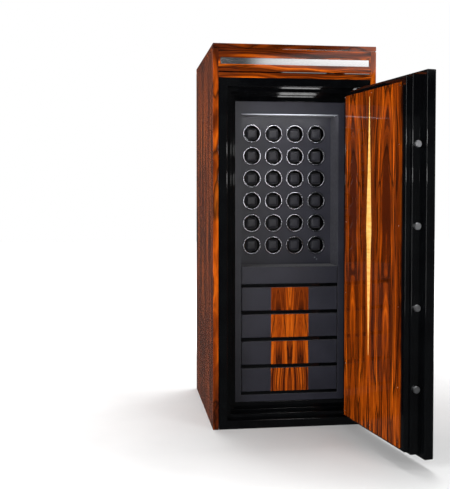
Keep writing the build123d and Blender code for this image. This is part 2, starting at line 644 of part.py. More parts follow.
def face_frame():
    """Leather-covered board behind the frame's lip, with the bay's returns and the drawers' opening."""
    height = (SHELL_PLATE + FIT, FRAME_TOP - SHELL_PLATE - FIT)
    board = block(both(SHELL_HALF - FIT), (LINER_FRONT, LINER_BACK), height)
    board -= block(both(BAY_HALF), (LINER_FRONT, LINER_BACK), (BAY_BOTTOM, BAY_TOP))
    board -= block(both(BAY_HALF), (LINER_FRONT, LINER_BACK), (WELL_BOTTOM, WELL_TOP))
    rail = (LINER_FRONT, LINER_FRONT + BAY_RAIL_RECESS)
    board -= block(both(BAY_HALF), rail, (WELL_TOP, BAY_BOTTOM))
    outer = block(both(CASSETTE_HALF), (LINER_BACK, WINDER_FRONT), CASSETTE_Z)
    board += outer - block(both(BAY_HALF), (LINER_BACK, WINDER_FRONT), (BAY_BOTTOM, BAY_TOP))
    return fillet(rim_edges(board, LINER_FRONT, BAY_HALF, (BAY_BOTTOM, BAY_TOP)), LINER_ROUND)


def fixed_fascia():
    height = (WELL_TOP + RAIL_OFFSET, BAY_BOTTOM - FIT)
    board = block(both(DRAWER_HALF), (LINER_FRONT, LINER_FRONT + BAY_RAIL_RECESS), height)
    return fillet(edges_at_depth(board, LINER_FRONT), DRAWER_ROUND)


def winder_places():
    """Name, x and z of each winder, row by row from the top left."""
    places = []
    for row in range(ROWS):
        for column in range(COLUMNS):
            x = (column - (COLUMNS - 1) / 2) * COLUMN_PITCH
            z = BAY_TOP - TOP_ROW_DROP - row * ROW_PITCH
            places.append((f"r{row + 1}c{column + 1}", x, z))
    return places


def winder_panel():
    """Front plate with its holes and the skirt of the cassette that carries the motors."""
    plate = block(both(CASSETTE_HALF), (WINDER_FRONT, CASSETTE_BACK), CASSETTE_Z)
    room_z = (CASSETTE_Z[0] + CASSETTE_WALL, CASSETTE_Z[1] - CASSETTE_WALL)
    plate -= block(both(CASSETTE_HALF - CASSETTE_WALL), (WINDER_BACK, CASSETTE_BACK), room_z)
    for name, x, z in winder_places():
        plate -= rod_y(x, z, RING_BORE_R + RING_SLEEVE + FIT, (WINDER_FRONT, WINDER_BACK))
    return plate


def bezel_rings():
    """Polished ring round each winder, with a short sleeve through the panel."""
    rings = []
    for name, x, z in winder_places():
        ring = rod_y(x, z, RING_R, (WINDER_FRONT - RING_PROUD, WINDER_FRONT))
        ring += rod_y(x, z, RING_BORE_R + RING_SLEEVE, (WINDER_FRONT, WINDER_BACK))
        ring -= rod_y(x, z, RING_BORE_R, (WINDER_FRONT - RING_PROUD, WINDER_BACK))
        rings.append(fillet(edges_at_depth(ring, WINDER_FRONT - RING_PROUD), RING_ROUND))
    return Compound(children=rings)


def winder_motors():
    """Geared motor behind each winder, all on one chassis plate that closes the cassette."""
    front = TURNTABLE_BACK + MOTOR_GAP
    half = MOTOR_SIZE / 2
    pieces = [block(both(CASSETTE_HALF), (CASSETTE_BACK, CASSETTE_BACK + CHASSIS_THICK), CASSETTE_Z)]
    for name, x, z in winder_places():
        motor = block((x - half, x + half), (front, CASSETTE_BACK), (z - half, z + half))
        bore = (front, TURNTABLE_BACK + SHAFT_LENGTH + MOTOR_BORE_EXTRA)
        pieces.append(motor - rod_y(x, z, SHAFT_R + RUNNING, bore))
    return Compound(children=pieces)


def cushion_outline(size, depth):
    """Square outline with rounded corners and sides drawn in between them, at one depth."""
    half = size / 2
    flat = half - CUSHION_CORNER * size / CUSHION_SIZE
    knee = flat + (half - flat) * math.sin(math.radians(45))
    pull = half - CUSHION_PULL
    arcs = []
    for turn in range(4):
        side = ThreePointArc((-flat, half), (0, pull), (flat, half))
        corner = ThreePointArc((flat, half), (knee, knee), (half, flat))
        arcs += [Rot(0, 0, -90 * turn) * side, Rot(0, 0, -90 * turn) * corner]
    face = make_face(Curve() + arcs)
    return Pos(0, FRONT + depth, 0) * Rot(90, 0, 0) * face


def crowned(along):
    """Share of a cushion's full size at a share of its depth, fullest at one place and less to both ends."""
    if along < CUSHION_FULLEST:
        return 1 - CUSHION_FRONT_CROWN * (1 - along / CUSHION_FULLEST) ** 2
    return 1 - CUSHION_BACK_CROWN * ((along - CUSHION_FULLEST) / (1 - CUSHION_FULLEST)) ** 2


def cushion():
    """Crowned watch pillow, fullest a third of the way back."""
    sections = []
    for station in range(CUSHION_STATIONS):
        along = station / (CUSHION_STATIONS - 1)
        sections.append(cushion_outline(CUSHION_SIZE * crowned(along), CUSHION_FRONT + CUSHION_DEPTH * along))
    return loft(sections)


def winder_rotor(x, z, pillow):
    """Turntable on its shaft, with the cushion that a watch is strapped round."""
    table = rod_y(x, z, TURNTABLE_R, (TURNTABLE_FRONT, TURNTABLE_BACK))
    table += rod_y(x, z, SHAFT_R, (TURNTABLE_BACK, TURNTABLE_BACK + SHAFT_LENGTH))
    return Compound(children=[table, Pos(x, 0, z) * pillow])


def bay_lamps():
    """Light bar under the bay's front edge, and two indicator lamps under the last column of winders."""
    bar_depth = (LINER_FRONT + LIGHT_BAR_BACK, LINER_FRONT + LIGHT_BAR_BACK + LIGHT_BAR_DEPTH)
    lamps = [block(both(BAY_HALF - LIGHT_BAR_MARGIN), bar_depth, (BAY_TOP - LIGHT_BAR_HEIGHT, BAY_TOP))]
    last_column = (COLUMNS - 1) / 2 * COLUMN_PITCH
    for aside, rise in LAMP_PLACES:
        lamp_depth = (WINDER_FRONT - LAMP_HEIGHT, WINDER_FRONT)
        lamp = rod_y(last_column + aside, BAY_BOTTOM + rise, LAMP_R, lamp_depth)
        lamps.append(fillet(edges_at_depth(lamp, lamp_depth[0]), LAMP_ROUND))
    return Compound(children=lamps)


def drawer_heights(index):
    """Bottom and top of a drawer's front, counted from the top drawer."""
    top = DRAWER_TOP - index * DRAWER_PITCH
    return top - DRAWER_HEIGHT, top


def drawer(index):
    """Drawer box with its leather front, recessed in the middle for the wood stripe."""
    low, high = drawer_heights(index)
    front = (LINER_FRONT, LINER_FRONT + DRAWER_FRONT_THICK)
    board = block(both(DRAWER_HALF), front, (low, high))
    board = fillet(edges_at_depth(board, LINER_FRONT), DRAWER_ROUND)
    stripe = (LINER_FRONT, LINER_FRONT + STRIPE_THICK - STRIPE_PROUD)
    board -= block(both(STRIPE_HALF), stripe, (low, high))
    box_z = (low + DRAWER_BOX_FOOT, high - DRAWER_BOX_HEAD)
    box = block(both(DRAWER_BOX_HALF), (front[1], DRAWER_BOX_BACK), box_z)
    room = (front[1] + DRAWER_WALL, DRAWER_BOX_BACK - DRAWER_WALL)
    room_z = (box_z[0] + DRAWER_FLOOR, box_z[1])
    return board + box - block(both(DRAWER_BOX_HALF - DRAWER_WALL), room, room_z)


def drawer_stripe(index):
    low, high = drawer_heights(index)
    depth = (LINER_FRONT - STRIPE_PROUD, LINER_FRONT + STRIPE_THICK - STRIPE_PROUD)
    stripe = block(both(STRIPE_HALF - FIT), depth, (low, high))
    return fillet(edges_at_depth(stripe, depth[0]), STRIPE_PROUD)


def drawer_cabinet():
    """Carcass behind the face frame: walls, rails between the drawers, and a runner at each side of each."""
    outer_half = BAY_HALF + CARCASS_WALL
    carcass = block(both(outer_half), (LINER_BACK, CARCASS_BACK + CARCASS_WALL), (WELL_BOTTOM, WELL_TOP))
    carcass += block(both(BAY_HALF), (LINER_FRONT + RAIL_RECESS, LINER_BACK), (WELL_BOTTOM, WELL_TOP))
    inner = DRAWER_BOX_HALF + RUNNER_CLEAR
    runner_depth = (LINER_FRONT + DRAWER_FRONT_THICK + RUNNER_CLEAR, CARCASS_BACK)
    for index in range(DRAWER_COUNT):
        low, high = drawer_heights(index)
        room_z = (low - RAIL_OFFSET, high + RAIL_OFFSET)
        carcass -= block(both(BAY_HALF), (LINER_FRONT, CARCASS_BACK), room_z)
        middle = (low + high) / 2
        runner_z = (middle - RUNNER_HEIGHT / 2, middle + RUNNER_HEIGHT / 2)
        carcass += block((inner, BAY_HALF), runner_depth, runner_z)
        carcass += block((-BAY_HALF, -inner), runner_depth, runner_z)
    return carcass


def write(name, shape):
    export_step(shape, f"parts/{name}.step")


os.makedirs("parts", exist_ok=True)

write("left_side_panel", side_panel(-1))
write("right_side_panel", side_panel(1))
write("top_panel", top_panel())
write("front_fascia", front_fascia())
write("trim_strip", trim_strip())
write("door_frame", door_frame())
write("safe_shell", safe_shell())
write("power_inlet", power_inlet())
write("hinge_brackets", hinge_brackets())
write("face_frame", face_frame())
write("fixed_fascia", fixed_fascia())
write("winder_panel", winder_panel())
write("bezel_rings", bezel_rings())
write("winder_motors", winder_motors())
write("bay_lamps", bay_lamps())
write("drawer_cabinet", drawer_cabinet())

write("door_slab", swung(door_slab()))
write("door_plug", swung(door_plug()))
write("inner_panel", swung(inner_panel()))
write("spindle_inlay", swung(spindle_inlay()))
write("panel_screws", swung(panel_screws()))
write("hinge_leaves", swung(hinge_leaves()))
write("handle_rose", swung(handle_rose()))
write("reader_ring", swung(reader_ring()))
write("reader_pad", swung(reader_pad()))
write("lock_case", swung(lock_case()))
write("lever_handle", swung(lever_handle()))
write("lock_bolts", swung(lock_bolts()))

for number in range(DRAWER_COUNT):
    write(f"drawer_{number + 1}", drawer(number))
    write(f"drawer_stripe_{number + 1}", drawer_stripe(number))

watch_pillow = cushion()
for place, winder_x, winder_z in winder_places():
    write(f"winder_rotor_{place}", winder_rotor(winder_x, winder_z, watch_pillow))
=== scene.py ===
import functools
import json
import math

import bmesh
import bpy
from mathutils import Matrix, Vector
from mathutils.bvhtree import BVHTree

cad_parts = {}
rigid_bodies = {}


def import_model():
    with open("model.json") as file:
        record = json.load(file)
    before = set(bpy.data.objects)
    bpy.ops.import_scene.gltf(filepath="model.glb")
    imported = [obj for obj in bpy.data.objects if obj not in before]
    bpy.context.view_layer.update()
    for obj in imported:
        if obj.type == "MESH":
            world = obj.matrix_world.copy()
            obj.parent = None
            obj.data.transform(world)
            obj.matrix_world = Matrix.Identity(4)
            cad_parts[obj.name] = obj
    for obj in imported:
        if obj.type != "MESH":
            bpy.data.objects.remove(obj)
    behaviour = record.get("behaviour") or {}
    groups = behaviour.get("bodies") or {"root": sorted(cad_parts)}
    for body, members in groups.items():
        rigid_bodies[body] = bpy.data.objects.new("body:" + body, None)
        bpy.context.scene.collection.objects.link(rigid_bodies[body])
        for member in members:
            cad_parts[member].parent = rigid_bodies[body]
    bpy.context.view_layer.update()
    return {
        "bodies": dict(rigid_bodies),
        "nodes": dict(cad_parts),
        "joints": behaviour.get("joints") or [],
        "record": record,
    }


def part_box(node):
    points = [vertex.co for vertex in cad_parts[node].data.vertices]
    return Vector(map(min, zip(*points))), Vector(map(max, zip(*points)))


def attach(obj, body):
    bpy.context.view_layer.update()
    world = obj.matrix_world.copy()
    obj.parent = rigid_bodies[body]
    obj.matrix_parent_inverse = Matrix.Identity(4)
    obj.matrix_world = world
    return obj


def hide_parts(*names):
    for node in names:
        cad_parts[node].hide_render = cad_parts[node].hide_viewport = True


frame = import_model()

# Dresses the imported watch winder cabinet: finishes for the CAD pieces, soft and turned pieces that
# take the place of plainer solids, and a studio. Metres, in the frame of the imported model.

bl_info = {
    "name": "Watch Winder Cabinet",
    "version": (1, 0, 0),
    "blender": (4, 5, 0),
    "location": "3D View > Sidebar > Winder Cabinet",
    "description": "Finishes, cushions, rings and a studio for the packed watch winder cabinet",
    "category": "Object",
}

MM = 0.001
JOINTS = {joint["name"]: joint for joint in frame["joints"]}
ROOMS = {room["name"]: room["box_m"] for room in frame["record"]["physics"]["openings"]}
HINGE = Vector(JOINTS["door_hinge"]["pos_m"])
OPEN_ANGLE = math.radians(-JOINTS["door_hinge"]["range_deg"][0])
# SWING carries a piece of the shut door to where the open door is stored.
SWING = Matrix.Translation(HINGE) @ Matrix.Rotation(OPEN_ANGLE, 4, "Z") @ Matrix.Translation(-HINGE)
UNSWING = SWING.inverted()
WINDERS = {
    name[len("winder_"):-len("_spin")]: Vector(joint["pos_m"])
    for name, joint in JOINTS.items() if name.startswith("winder_")
}
DRAWERS = sorted(body for body in frame["bodies"] if body.startswith("drawer_"))
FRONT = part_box("front_fascia")[0].y
CUSHION_DEPTH = 38.0 * MM


def linear(code):
    """sRGB hex colour turned to linear light, with full opacity."""
    channels = [int(code[at:at + 2], 16) / 255 for at in (1, 3, 5)]
    return (*(c / 12.92 if c <= 0.04045 else ((c + 0.055) / 1.055) ** 2.4 for c in channels), 1.0)


def add_node(tree, kind, inputs=None, out=0, stops=(), **settings):
    """Add a node, set it up, fill or link its inputs, and return one of its outputs, or all for None."""
    node = tree.nodes.new(kind)
    for name, value in settings.items():
        setattr(node, name, value)
    for name, value in (inputs or {}).items():
        for item in value if isinstance(value, list) else [value]:
            if isinstance(item, bpy.types.NodeSocket):
                tree.links.new(item, node.inputs[name])
            else:
                node.inputs[name].default_value = item
    for number, (place, code) in enumerate(stops):
        band = node.color_ramp.elements
        element = band[number] if number < 2 else band.new(place)
        element.position = place
        element.color = linear(code)
    if out is None or not len(node.outputs):
        return node
    return node.outputs[out]


def new_finish(name, gloss, on_door=False):
    """Material with one shader, on whose own sockets is set what is the same all over.

    Returns it with add_node for its tree, its shader and the place that its patterns read. On the
    door that is the place on the shut door."""
    material = bpy.data.materials.new(name)
    material.use_nodes = True
    material.node_tree.nodes.clear()
    add = functools.partial(add_node, material.node_tree)
    shader = add("ShaderNodeBsdfPrincipled", gloss, out=None)
    add("ShaderNodeOutputMaterial", {"Surface": shader.outputs["BSDF"]})
    place = add("ShaderNodeTexCoord", out="Object")
    if on_door:
        place = add("ShaderNodeMapping", {
            "Vector": place, "Location": UNSWING.to_translation(), "Rotation": UNSWING.to_euler()})
    return material, add, shader, place


def dress(add, shader, colour=None, layers=(), roughness=None, height=None, depth=0.0, strength=1.0,
          glow=None):
    """Link a finish to its shader, and return its colour.

    Each layer lays its hex colour over the ones before, as far as its share says. The relief's depth
    is in metres, and the glow is the strength of its light."""
    for share, code in layers:
        colour = add("ShaderNodeMix", {0: share, 6: colour, 7: linear(code)}, out=2, data_type="RGBA")
    relief = None
    if height is not None:
        relief = add("ShaderNodeBump", {"Height": height, "Distance": depth, "Strength": strength})
    ends = {"Base Color": colour, "Roughness": roughness, "Normal": relief, "Emission Strength": glow}
    for socket, value in ends.items():
        if value is not None:
            shader.id_data.links.new(value, shader.inputs[socket])
    return colour


def grained(name, gloss, cells, detail, colours, shine, depth, strength=1.0, crisp=0.5, turn=(0, 0, 0),
            spread=(0.3, 0.7), cloud=None, on_door=False):
    """Finish with one grain, given in cells per metre along each axis, that sets its relief.

    It also mixes the two colours and sets the shine, a range of roughness, unless a broader cloud of
    (cells, detail) does. Turn lays the grain askew, crisp roughens its noise, and spread is the part of
    the noise over which the shine changes."""
    finish, add, shader, place = new_finish(name, gloss, on_door)
    lie = add("ShaderNodeMapping", {"Vector": place, "Scale": cells, "Rotation": turn})
    grain = add("ShaderNodeTexNoise", {"Vector": lie, "Scale": 1.0, "Detail": detail, "Roughness": crisp})
    tone = grain
    if cloud is not None:
        tone = add("ShaderNodeTexNoise", {"Vector": place, "Scale": cloud[0], "Detail": cloud[1]})
    colour = add("ShaderNodeValToRGB", {"Fac": tone}, stops=zip((0.3, 0.7), colours))
    roughness = add("ShaderNodeMapRange", {
        "Value": tone, 1: spread[0], 2: spread[1], 3: shine[0], 4: shine[1]})
    dress(add, shader, colour, (), roughness, grain, depth, strength)
    return finish


def rosewood(name, axes="XYZ", mirror=None, heart=0.0, summit=-0.2, flame=0.82, on_door=False, seed=0.0):
    """Rosewood veneer, sliced, bookmatched and lacquered to a gloss: fiery bands in long arches, dark veins.

    The three letters of axes run across the grain, through the sheet and along the grain."""
    finish, add, shader, place = new_finish(name, {
        "Roughness": 0.6, "IOR": 1.5, "Specular IOR Level": 0.0, "Coat Weight": 1.0,
        "Coat Roughness": 0.04}, on_door)
    parts = add("ShaderNodeSeparateXYZ", {"Vector": place}, out=None).outputs
    across, through, along = (parts[letter] for letter in axes)
    through = add("ShaderNodeMath", {0: through, 1: seed}, operation="ADD")
    if mirror is not None:
        offset = add("ShaderNodeMath", {0: across, 1: mirror}, operation="SUBTRACT")
        across = add("ShaderNodeMath", {0: offset}, operation="ABSOLUTE")
    leaf = add("ShaderNodeCombineXYZ", {0: across, 1: through, 2: along})
    # The log bends the rings sideways by up to 15 mm over about half a metre.
    slow = add("ShaderNodeMapping", {"Vector": leaf, "Scale": (4.0, 4.0, 2.2)})
    bend = add("ShaderNodeTexNoise", {"Vector": slow, "Scale": 1.0, "Detail": 2.0}, out="Color")
    bends = add("ShaderNodeSeparateColor", {"Color": bend}, out=None).outputs
    sway = add("ShaderNodeMath", {0: bends[0], 1: 0.06, 2: -0.03 - heart}, operation="MULTIPLY_ADD")
    aside = add("ShaderNodeMath", {0: across, 1: sway}, operation="ADD")
    # The knife runs out of line with the log by 36 mm in a metre, which draws the rings out into arches.
    runout = 0.036
    slant = add("ShaderNodeMath", {0: along, 1: runout, 2: -runout * summit}, operation="MULTIPLY_ADD")
    drift = add("ShaderNodeMath", {0: bends[1], 1: 0.04, 2: -0.02}, operation="MULTIPLY_ADD")
    below = add("ShaderNodeMath", {0: slant, 1: drift}, operation="ADD")
    reach = add("ShaderNodeCombineXYZ", {0: aside, 1: below})
    ring = add("ShaderNodeVectorMath", {0: reach}, out="Value", operation="LENGTH")
    rings = add("ShaderNodeCombineXYZ", {0: ring, 1: through, 2: along})
    # Growth bands are 10 mm wide and hold their colour for about 0.7 m along the grain. The veneer turns
    # lighter and darker in streaks 35 mm wide and 400 mm long, and its veins lie about as far apart.
    # Pores are 0.3 mm wide; these are 1.6 mm wide and 40 mm long, so that some still show from three metres.
    bands, streaks, field, pits = (
        add("ShaderNodeTexNoise", {
            "Vector": add("ShaderNodeMapping", {"Vector": source, "Scale": cells}), "Scale": 1.0, **noise})
        for source, cells, noise in (
            (rings, (98.0, 9.0, 1.5), {"Detail": 4.0, "Roughness": 0.62, "Distortion": 0.25}),
            (rings, (30.0, 9.0, 2.4), {"Detail": 2.0}),
            (rings, (34.0, 9.0, 2.4), {"Detail": 3.0, "Distortion": 0.5}),
            (leaf, (600.0, 600.0, 25.0), {"Detail": 2.0})))
    figure = add("ShaderNodeValToRGB", {"Fac": bands}, stops=(
        (0.28, "#230a02"), (0.40, "#562004"), (0.50, "#8a3806"), (0.60, "#bd560b"), (0.75, "#dc7a20")))
    shade = add("ShaderNodeMapRange", {"Value": streaks, 1: 0.42, 2: 0.62, 3: 0.0, 4: flame})
    # Dark veins follow the level lines of their pattern, so they run in pairs, curl and die away.
    level_line = add("ShaderNodeMath", {0: field, 1: 0.5}, operation="SUBTRACT")
    off_level = add("ShaderNodeMath", {0: level_line}, operation="ABSOLUTE")
    vein = add("ShaderNodeMapRange", {"Value": off_level, 1: 0.0, 2: 0.05, 3: 0.9, 4: 0.0})
    pores = add("ShaderNodeMapRange", {"Value": pits, 1: 0.5, 2: 0.7, 3: 0.0, 4: 0.5})
    layers = [(shade, "#3a1204"), (vein, "#1a0702"), (pores, "#240a02")]
    if axes == "ZYX":
        # Painted shade: behind the front face, inside the groove and the slot, the veneer is coloured
        # near-black, as the shadow that lies there.
        inside = add("ShaderNodeMapRange", {"Value": parts["Y"], 1: FRONT + 0.8 * MM, 2: FRONT + 1.6 * MM})
        front_only = add("ShaderNodeMapRange", {
            "Value": parts["Y"], 1: FRONT + 12 * MM, 2: FRONT + 12.5 * MM, 3: 1.0, 4: 0.0})
        groove_shade = add("ShaderNodeMath", {0: inside, 1: front_only}, operation="MULTIPLY")
        layers.append((groove_shade, "#050505"))
    dress(add, shader, figure, layers, height=pores, depth=-0.00002)
    return finish


def dyed_sycamore(name):
    """Pale sycamore inlay, dyed gold and lacquered with the panel: near-plain, with a silky ripple."""
    finish, add, shader, place = new_finish(name, {
        "Roughness": 0.4, "IOR": 1.5, "Coat Weight": 1.0, "Coat Roughness": 0.04}, on_door=True)
    # Real fibres are 0.1 mm apart; these are 1 mm, so that some show. The ripple across them is 8 mm from
    # crest to crest.
    lines = add("ShaderNodeMapping", {"Vector": place, "Scale": (900.0, 900.0, 14.0)})
    ripple = add("ShaderNodeMapping", {"Vector": place, "Scale": (20.0, 20.0, 130.0)})
    fibre = add("ShaderNodeTexNoise", {"Vector": lines, "Scale": 1.0, "Detail": 3.0})
    silk = add("ShaderNodeTexNoise", {"Vector": ripple, "Scale": 1.0, "Detail": 2.0})
    both = add("ShaderNodeMath", {0: fibre, 1: silk}, operation="ADD")
    figure = add("ShaderNodeMath", {0: both, 1: 0.5}, operation="MULTIPLY")
    colour = add("ShaderNodeValToRGB", {"Fac": figure}, stops=(
        (0.35, "#cf8a35"), (0.5, "#efb65c"), (0.65, "#f9cd7c")))
    dress(add, shader, colour, height=fibre, depth=0.00001)
    return finish


def black_lacquer(name, on_door=False):
    """Black polyester lacquer, sprayed, flatted and buffed: a deep black mirror with the faintest ripple."""
    # The ripple that flatting leaves is about 4 mm from crest to crest; the haze of polishing, 70 mm.
    return grained(name, {"IOR": 1.5}, (250.0,) * 3, 2.0, ("#030304", "#060708"), shine=(0.03, 0.07),
                   depth=0.00001, strength=0.3, cloud=(14.0, 4.0), on_door=on_door)


def leather(name, dark, light, pebble=1.3 * MM):
    """Chrome-tanned leather, printed with a fine pebble and pulled over board: a soft broad sheen."""
    finish, add, shader, place = new_finish(name, {
        "IOR": 1.5, "Specular IOR Level": 0.5, "Sheen Weight": 0.08, "Sheen Roughness": 0.5})
    # Creases are 11 mm apart, and the dye clouds over 110 mm.
    pebbles = add("ShaderNodeTexVoronoi", {
        "Vector": place, "Scale": 1 / pebble, "Randomness": 0.9}, out="Distance", feature="SMOOTH_F1")
    creases = add("ShaderNodeTexNoise", {
        "Vector": place, "Scale": 90.0, "Detail": 4.0, "Roughness": 0.6, "Distortion": 0.4})
    tan = add("ShaderNodeTexNoise", {"Vector": place, "Scale": 9.0, "Detail": 3.0})
    cloud = add("ShaderNodeMapRange", {"Value": tan, 1: 0.3, 2: 0.7})
    # Painted shade: the pebbles' valleys are darkened towards near-black, by up to half.
    valley_shade = add("ShaderNodeMapRange", {"Value": pebbles, 1: 0.45, 2: 0.8, 3: 0.0, 4: 0.5})
    height = add("ShaderNodeMath", {0: creases, 1: 0.6, 2: 1.0}, operation="MULTIPLY_ADD")
    height = add("ShaderNodeMath", {0: height, 1: pebbles}, operation="SUBTRACT")
    sheen = add("ShaderNodeMapRange", {"Value": creases, 1: 0.3, 2: 0.7, 3: 0.36, 4: 0.5})
    dress(add, shader, linear(dark), ((cloud, light), (valley_shade, "#08080b")), sheen, height, 0.0001, 0.5)
    return finish


def polished_steel(name):
    """Stainless steel, buffed bright: clean reflections with hair-fine wheel marks."""
    # Wheel marks are about 1 mm apart and 15 mm long, and show only as a trace in the reflections.
    return grained(name, {"Metallic": 1.0}, (900.0, 900.0, 60.0), 3.0, ("#9c9da4", "#b9bac1"),
                   shine=(0.16, 0.24), depth=0.000001)


def ground_chrome(name):
    """Steel bar, ground round and hard-chromed: a silky grey that glows in any light, ringed by the wheel."""
    # Grinding rings lie 1 mm apart along the bolt, which lies across the door.
    return grained(name, {"Metallic": 1.0}, (1000.0, 80.0, 80.0), 3.0, ("#c9cacd", "#e6e7ea"),
                   shine=(0.3, 0.4), depth=0.000006, on_door=True)


def brushed_steel(name):
    """Stainless steel, finely belt-brushed along its length: a near-mirror drawn out across its lines."""
    # Real brush lines are 0.1 mm apart; these are 0.5 mm, so that some still show from a metre away.
    return grained(name, {"Metallic": 1.0, "Anisotropic": 0.4}, (6.0, 2000.0, 2000.0), 3.0,
                   ("#d9d7d8", "#f0eff0"), shine=(0.07, 0.13), depth=0.000004, strength=0.4, crisp=0.7)


def black_chrome(name):
    """Black chrome, electroplated over polished steel: a dark smoky mirror."""
    # The polish under the plating leaves waves 1.4 mm apart, and the plating clouds over 17 mm.
    return grained(name, {"Metallic": 1.0}, (700.0,) * 3, 2.0, ("#5c5c63", "#74747c"), shine=(0.1, 0.2),
                   depth=0.000004, cloud=(60.0, 4.0))


def powder_coat(name, code="#121315"):
    """Polyester powder coat, baked on plate: satin black with a fine orange-peel skin and a little dust."""
    finish, add, shader, place = new_finish(name, {"IOR": 1.5, "Specular IOR Level": 0.4})
    # The skin's bumps are about 1 mm across, and the dust has settled in patches 140 mm wide.
    skin = add("ShaderNodeTexNoise", {"Vector": place, "Scale": 900.0, "Detail": 3.0})
    dust = add("ShaderNodeTexNoise", {"Vector": place, "Scale": 7.0, "Detail": 4.0})
    settled = add("ShaderNodeMapRange", {"Value": dust, 1: 0.45, 2: 0.8, 3: 0.0, 4: 0.3})
    gloss = add("ShaderNodeMapRange", {"Value": skin, 1: 0.3, 2: 0.7, 3: 0.42, 4: 0.58})
    dress(add, shader, linear(code), ((settled, "#2c2c2d"),), gloss, skin, 0.00005)
    return finish


def black_abs(name):
    """ABS, moulded in a spark-eroded tool: dull black with a fine sand-like texture."""
    # Real spark pits are 0.1 mm across; these are 0.4 mm, so that some still show.
    return grained(name, {"IOR": 1.54, "Specular IOR Level": 0.4}, (2400.0,) * 3, 2.0,
                   ("#08080a", "#111113"), shine=(0.42, 0.58), depth=0.00003)


def smoked_acrylic(name):
    """Black cast acrylic, flame-polished: a deep dark gloss with the odd fine scratch."""
    # Scratches are 0.7 mm apart at their closest and 25 mm long.
    return grained(name, {"IOR": 1.49, "Coat Weight": 0.5, "Coat Roughness": 0.03}, (40.0, 40.0, 1500.0),
                   2.0, ("#0a0b0e", "#101218"), shine=(0.08, 0.25), depth=0.000003, turn=(0.3, 0.5, 0.2),
                   spread=(0.6, 0.75))


def frosted_glass(name):
    """Toughened glass, ground matt on its back: a pale cold window that a finger is laid on."""
    finish, add, shader, place = new_finish(name, {"IOR": 1.52, "Coat Weight": 0.6, "Coat Roughness": 0.05})
    # Real frost is 0.05 mm fine; this is 0.6 mm, so that it shows. Fingers have left smears 8 mm wide.
    frost = add("ShaderNodeTexNoise", {"Vector": place, "Scale": 1800.0, "Detail": 3.0})
    smear = add("ShaderNodeTexNoise", {"Vector": place, "Scale": 120.0, "Detail": 4.0})
    colour = add("ShaderNodeValToRGB", {"Fac": frost}, stops=((0.3, "#aeb4ba"), (0.7, "#d9dde0")))
    gloss = add("ShaderNodeMapRange", {"Value": smear, 1: 0.4, 2: 0.7, 3: 0.22, 4: 0.4})
    dress(add, shader, colour, (), gloss, frost, 0.00001)
    return finish


def lamp_glow(name, code, power, dim=None):
    """Light-emitting diodes behind a frosted epoxy lens: an even glow. Below the height dim it's a plain
    grey."""
    finish, add, shader, place = new_finish(name, {"Roughness": 0.25, "IOR": 1.5, "Emission Strength": power})
    # Real frost is 0.05 mm fine; this is 0.7 mm, so that it breaks up the glow at all.
    frost = add("ShaderNodeTexNoise", {"Vector": place, "Scale": 1500.0, "Detail": 2.0})
    lens = add("ShaderNodeMapRange", {"Value": frost, 1: 0.3, 2: 0.7, 3: 0.0, 4: 0.25})
    layers = [(lens, "#ffffff")]
    if dim is not None:
        axes = add("ShaderNodeSeparateXYZ", {"Vector": place}, out=None).outputs
        below = add("ShaderNodeMapRange", {"Value": axes["Z"], 1: dim - 0.01, 2: dim + 0.01, 3: 1.0, 4: 0.0})
        # The bar's diodes stop short of its ends, so it dims over its last 150 mm.
        across = add("ShaderNodeMath", {0: axes["X"]}, operation="ABSOLUTE")
        ends = add("ShaderNodeMapRange", {"Value": across, 1: 0.05, 2: 0.2, 3: 0.0, 4: 0.75})
        layers += [(below, "#8b9096"), (ends, "#101114")]
    glow = dress(add, shader, linear(code), layers, height=frost, depth=0.00001)
    shader.id_data.links.new(glow, shader.inputs["Emission Color"])
    return finish


def suede(name, dark, light):
    """Microfibre suede, flocked and brushed: matt charcoal with a pale nap at grazing angles."""
    finish, add, shader, place = new_finish(name, {
        "Roughness": 0.95, "Specular IOR Level": 0.1, "Sheen Weight": 0.6, "Sheen Roughness": 0.35})
    # The nap's tufts are 0.5 mm; hand strokes leave it lying in patches 40 mm across.
    nap = add("ShaderNodeTexNoise", {"Vector": place, "Scale": 1800.0, "Detail": 3.0})
    strokes = add("ShaderNodeTexNoise", {
        "Vector": place, "Scale": 25.0, "Detail": 3.0, "Roughness": 0.6, "Distortion": 0.8})
    lie = add("ShaderNodeMapRange", {"Value": strokes, 1: 0.35, 2: 0.65})
    root = add("ShaderNodeMapRange", {"Value": nap, 1: 0.3, 2: 0.7, 3: 0.0, 4: 0.4})
    dress(add, shader, linear(dark), ((lie, light), (root, "#151518")), height=nap, depth=0.0001)
    return finish


def waxed_thread(name):
    """Bonded polyester thread, twisted and waxed: dark grey with a slight shine on each turn."""
    # A turn of the twist is 0.4 mm long.
    return grained(name, {"IOR": 1.5, "Specular IOR Level": 0.5}, (2600.0,) * 3, 1.0,
                   ("#34343a", "#5a5a62"), shine=(0.35, 0.55), depth=0.00005)


def opal_floor(name, dark_reach, light_reach):
    """Opal acrylic light table: matt white, lit from beneath away from the cabinet, so it has no edge."""
    finish, add, shader, place = new_finish(name, {
        "Roughness": 0.8, "IOR": 1.49, "Specular IOR Level": 0.1, "Emission Color": linear("#ffffff")})
    # The sheet's veil is faint and about 0.3 m from cloud to cloud.
    veil = add("ShaderNodeTexNoise", {"Vector": place, "Scale": 3.0, "Detail": 4.0})
    colour = add("ShaderNodeValToRGB", {"Fac": veil}, stops=((0.3, "#e2e2e2"), (0.7, "#e8e8e8")))
    away = add("ShaderNodeVectorMath", {0: place}, out="Value", operation="LENGTH")
    glow = add("ShaderNodeMapRange", {"Value": away, 1: dark_reach, 2: light_reach, 3: 0.0, 4: 1.0},
               interpolation_type="SMOOTHSTEP")
    dress(add, shader, colour, height=veil, depth=0.0001, glow=glow)
    return finish


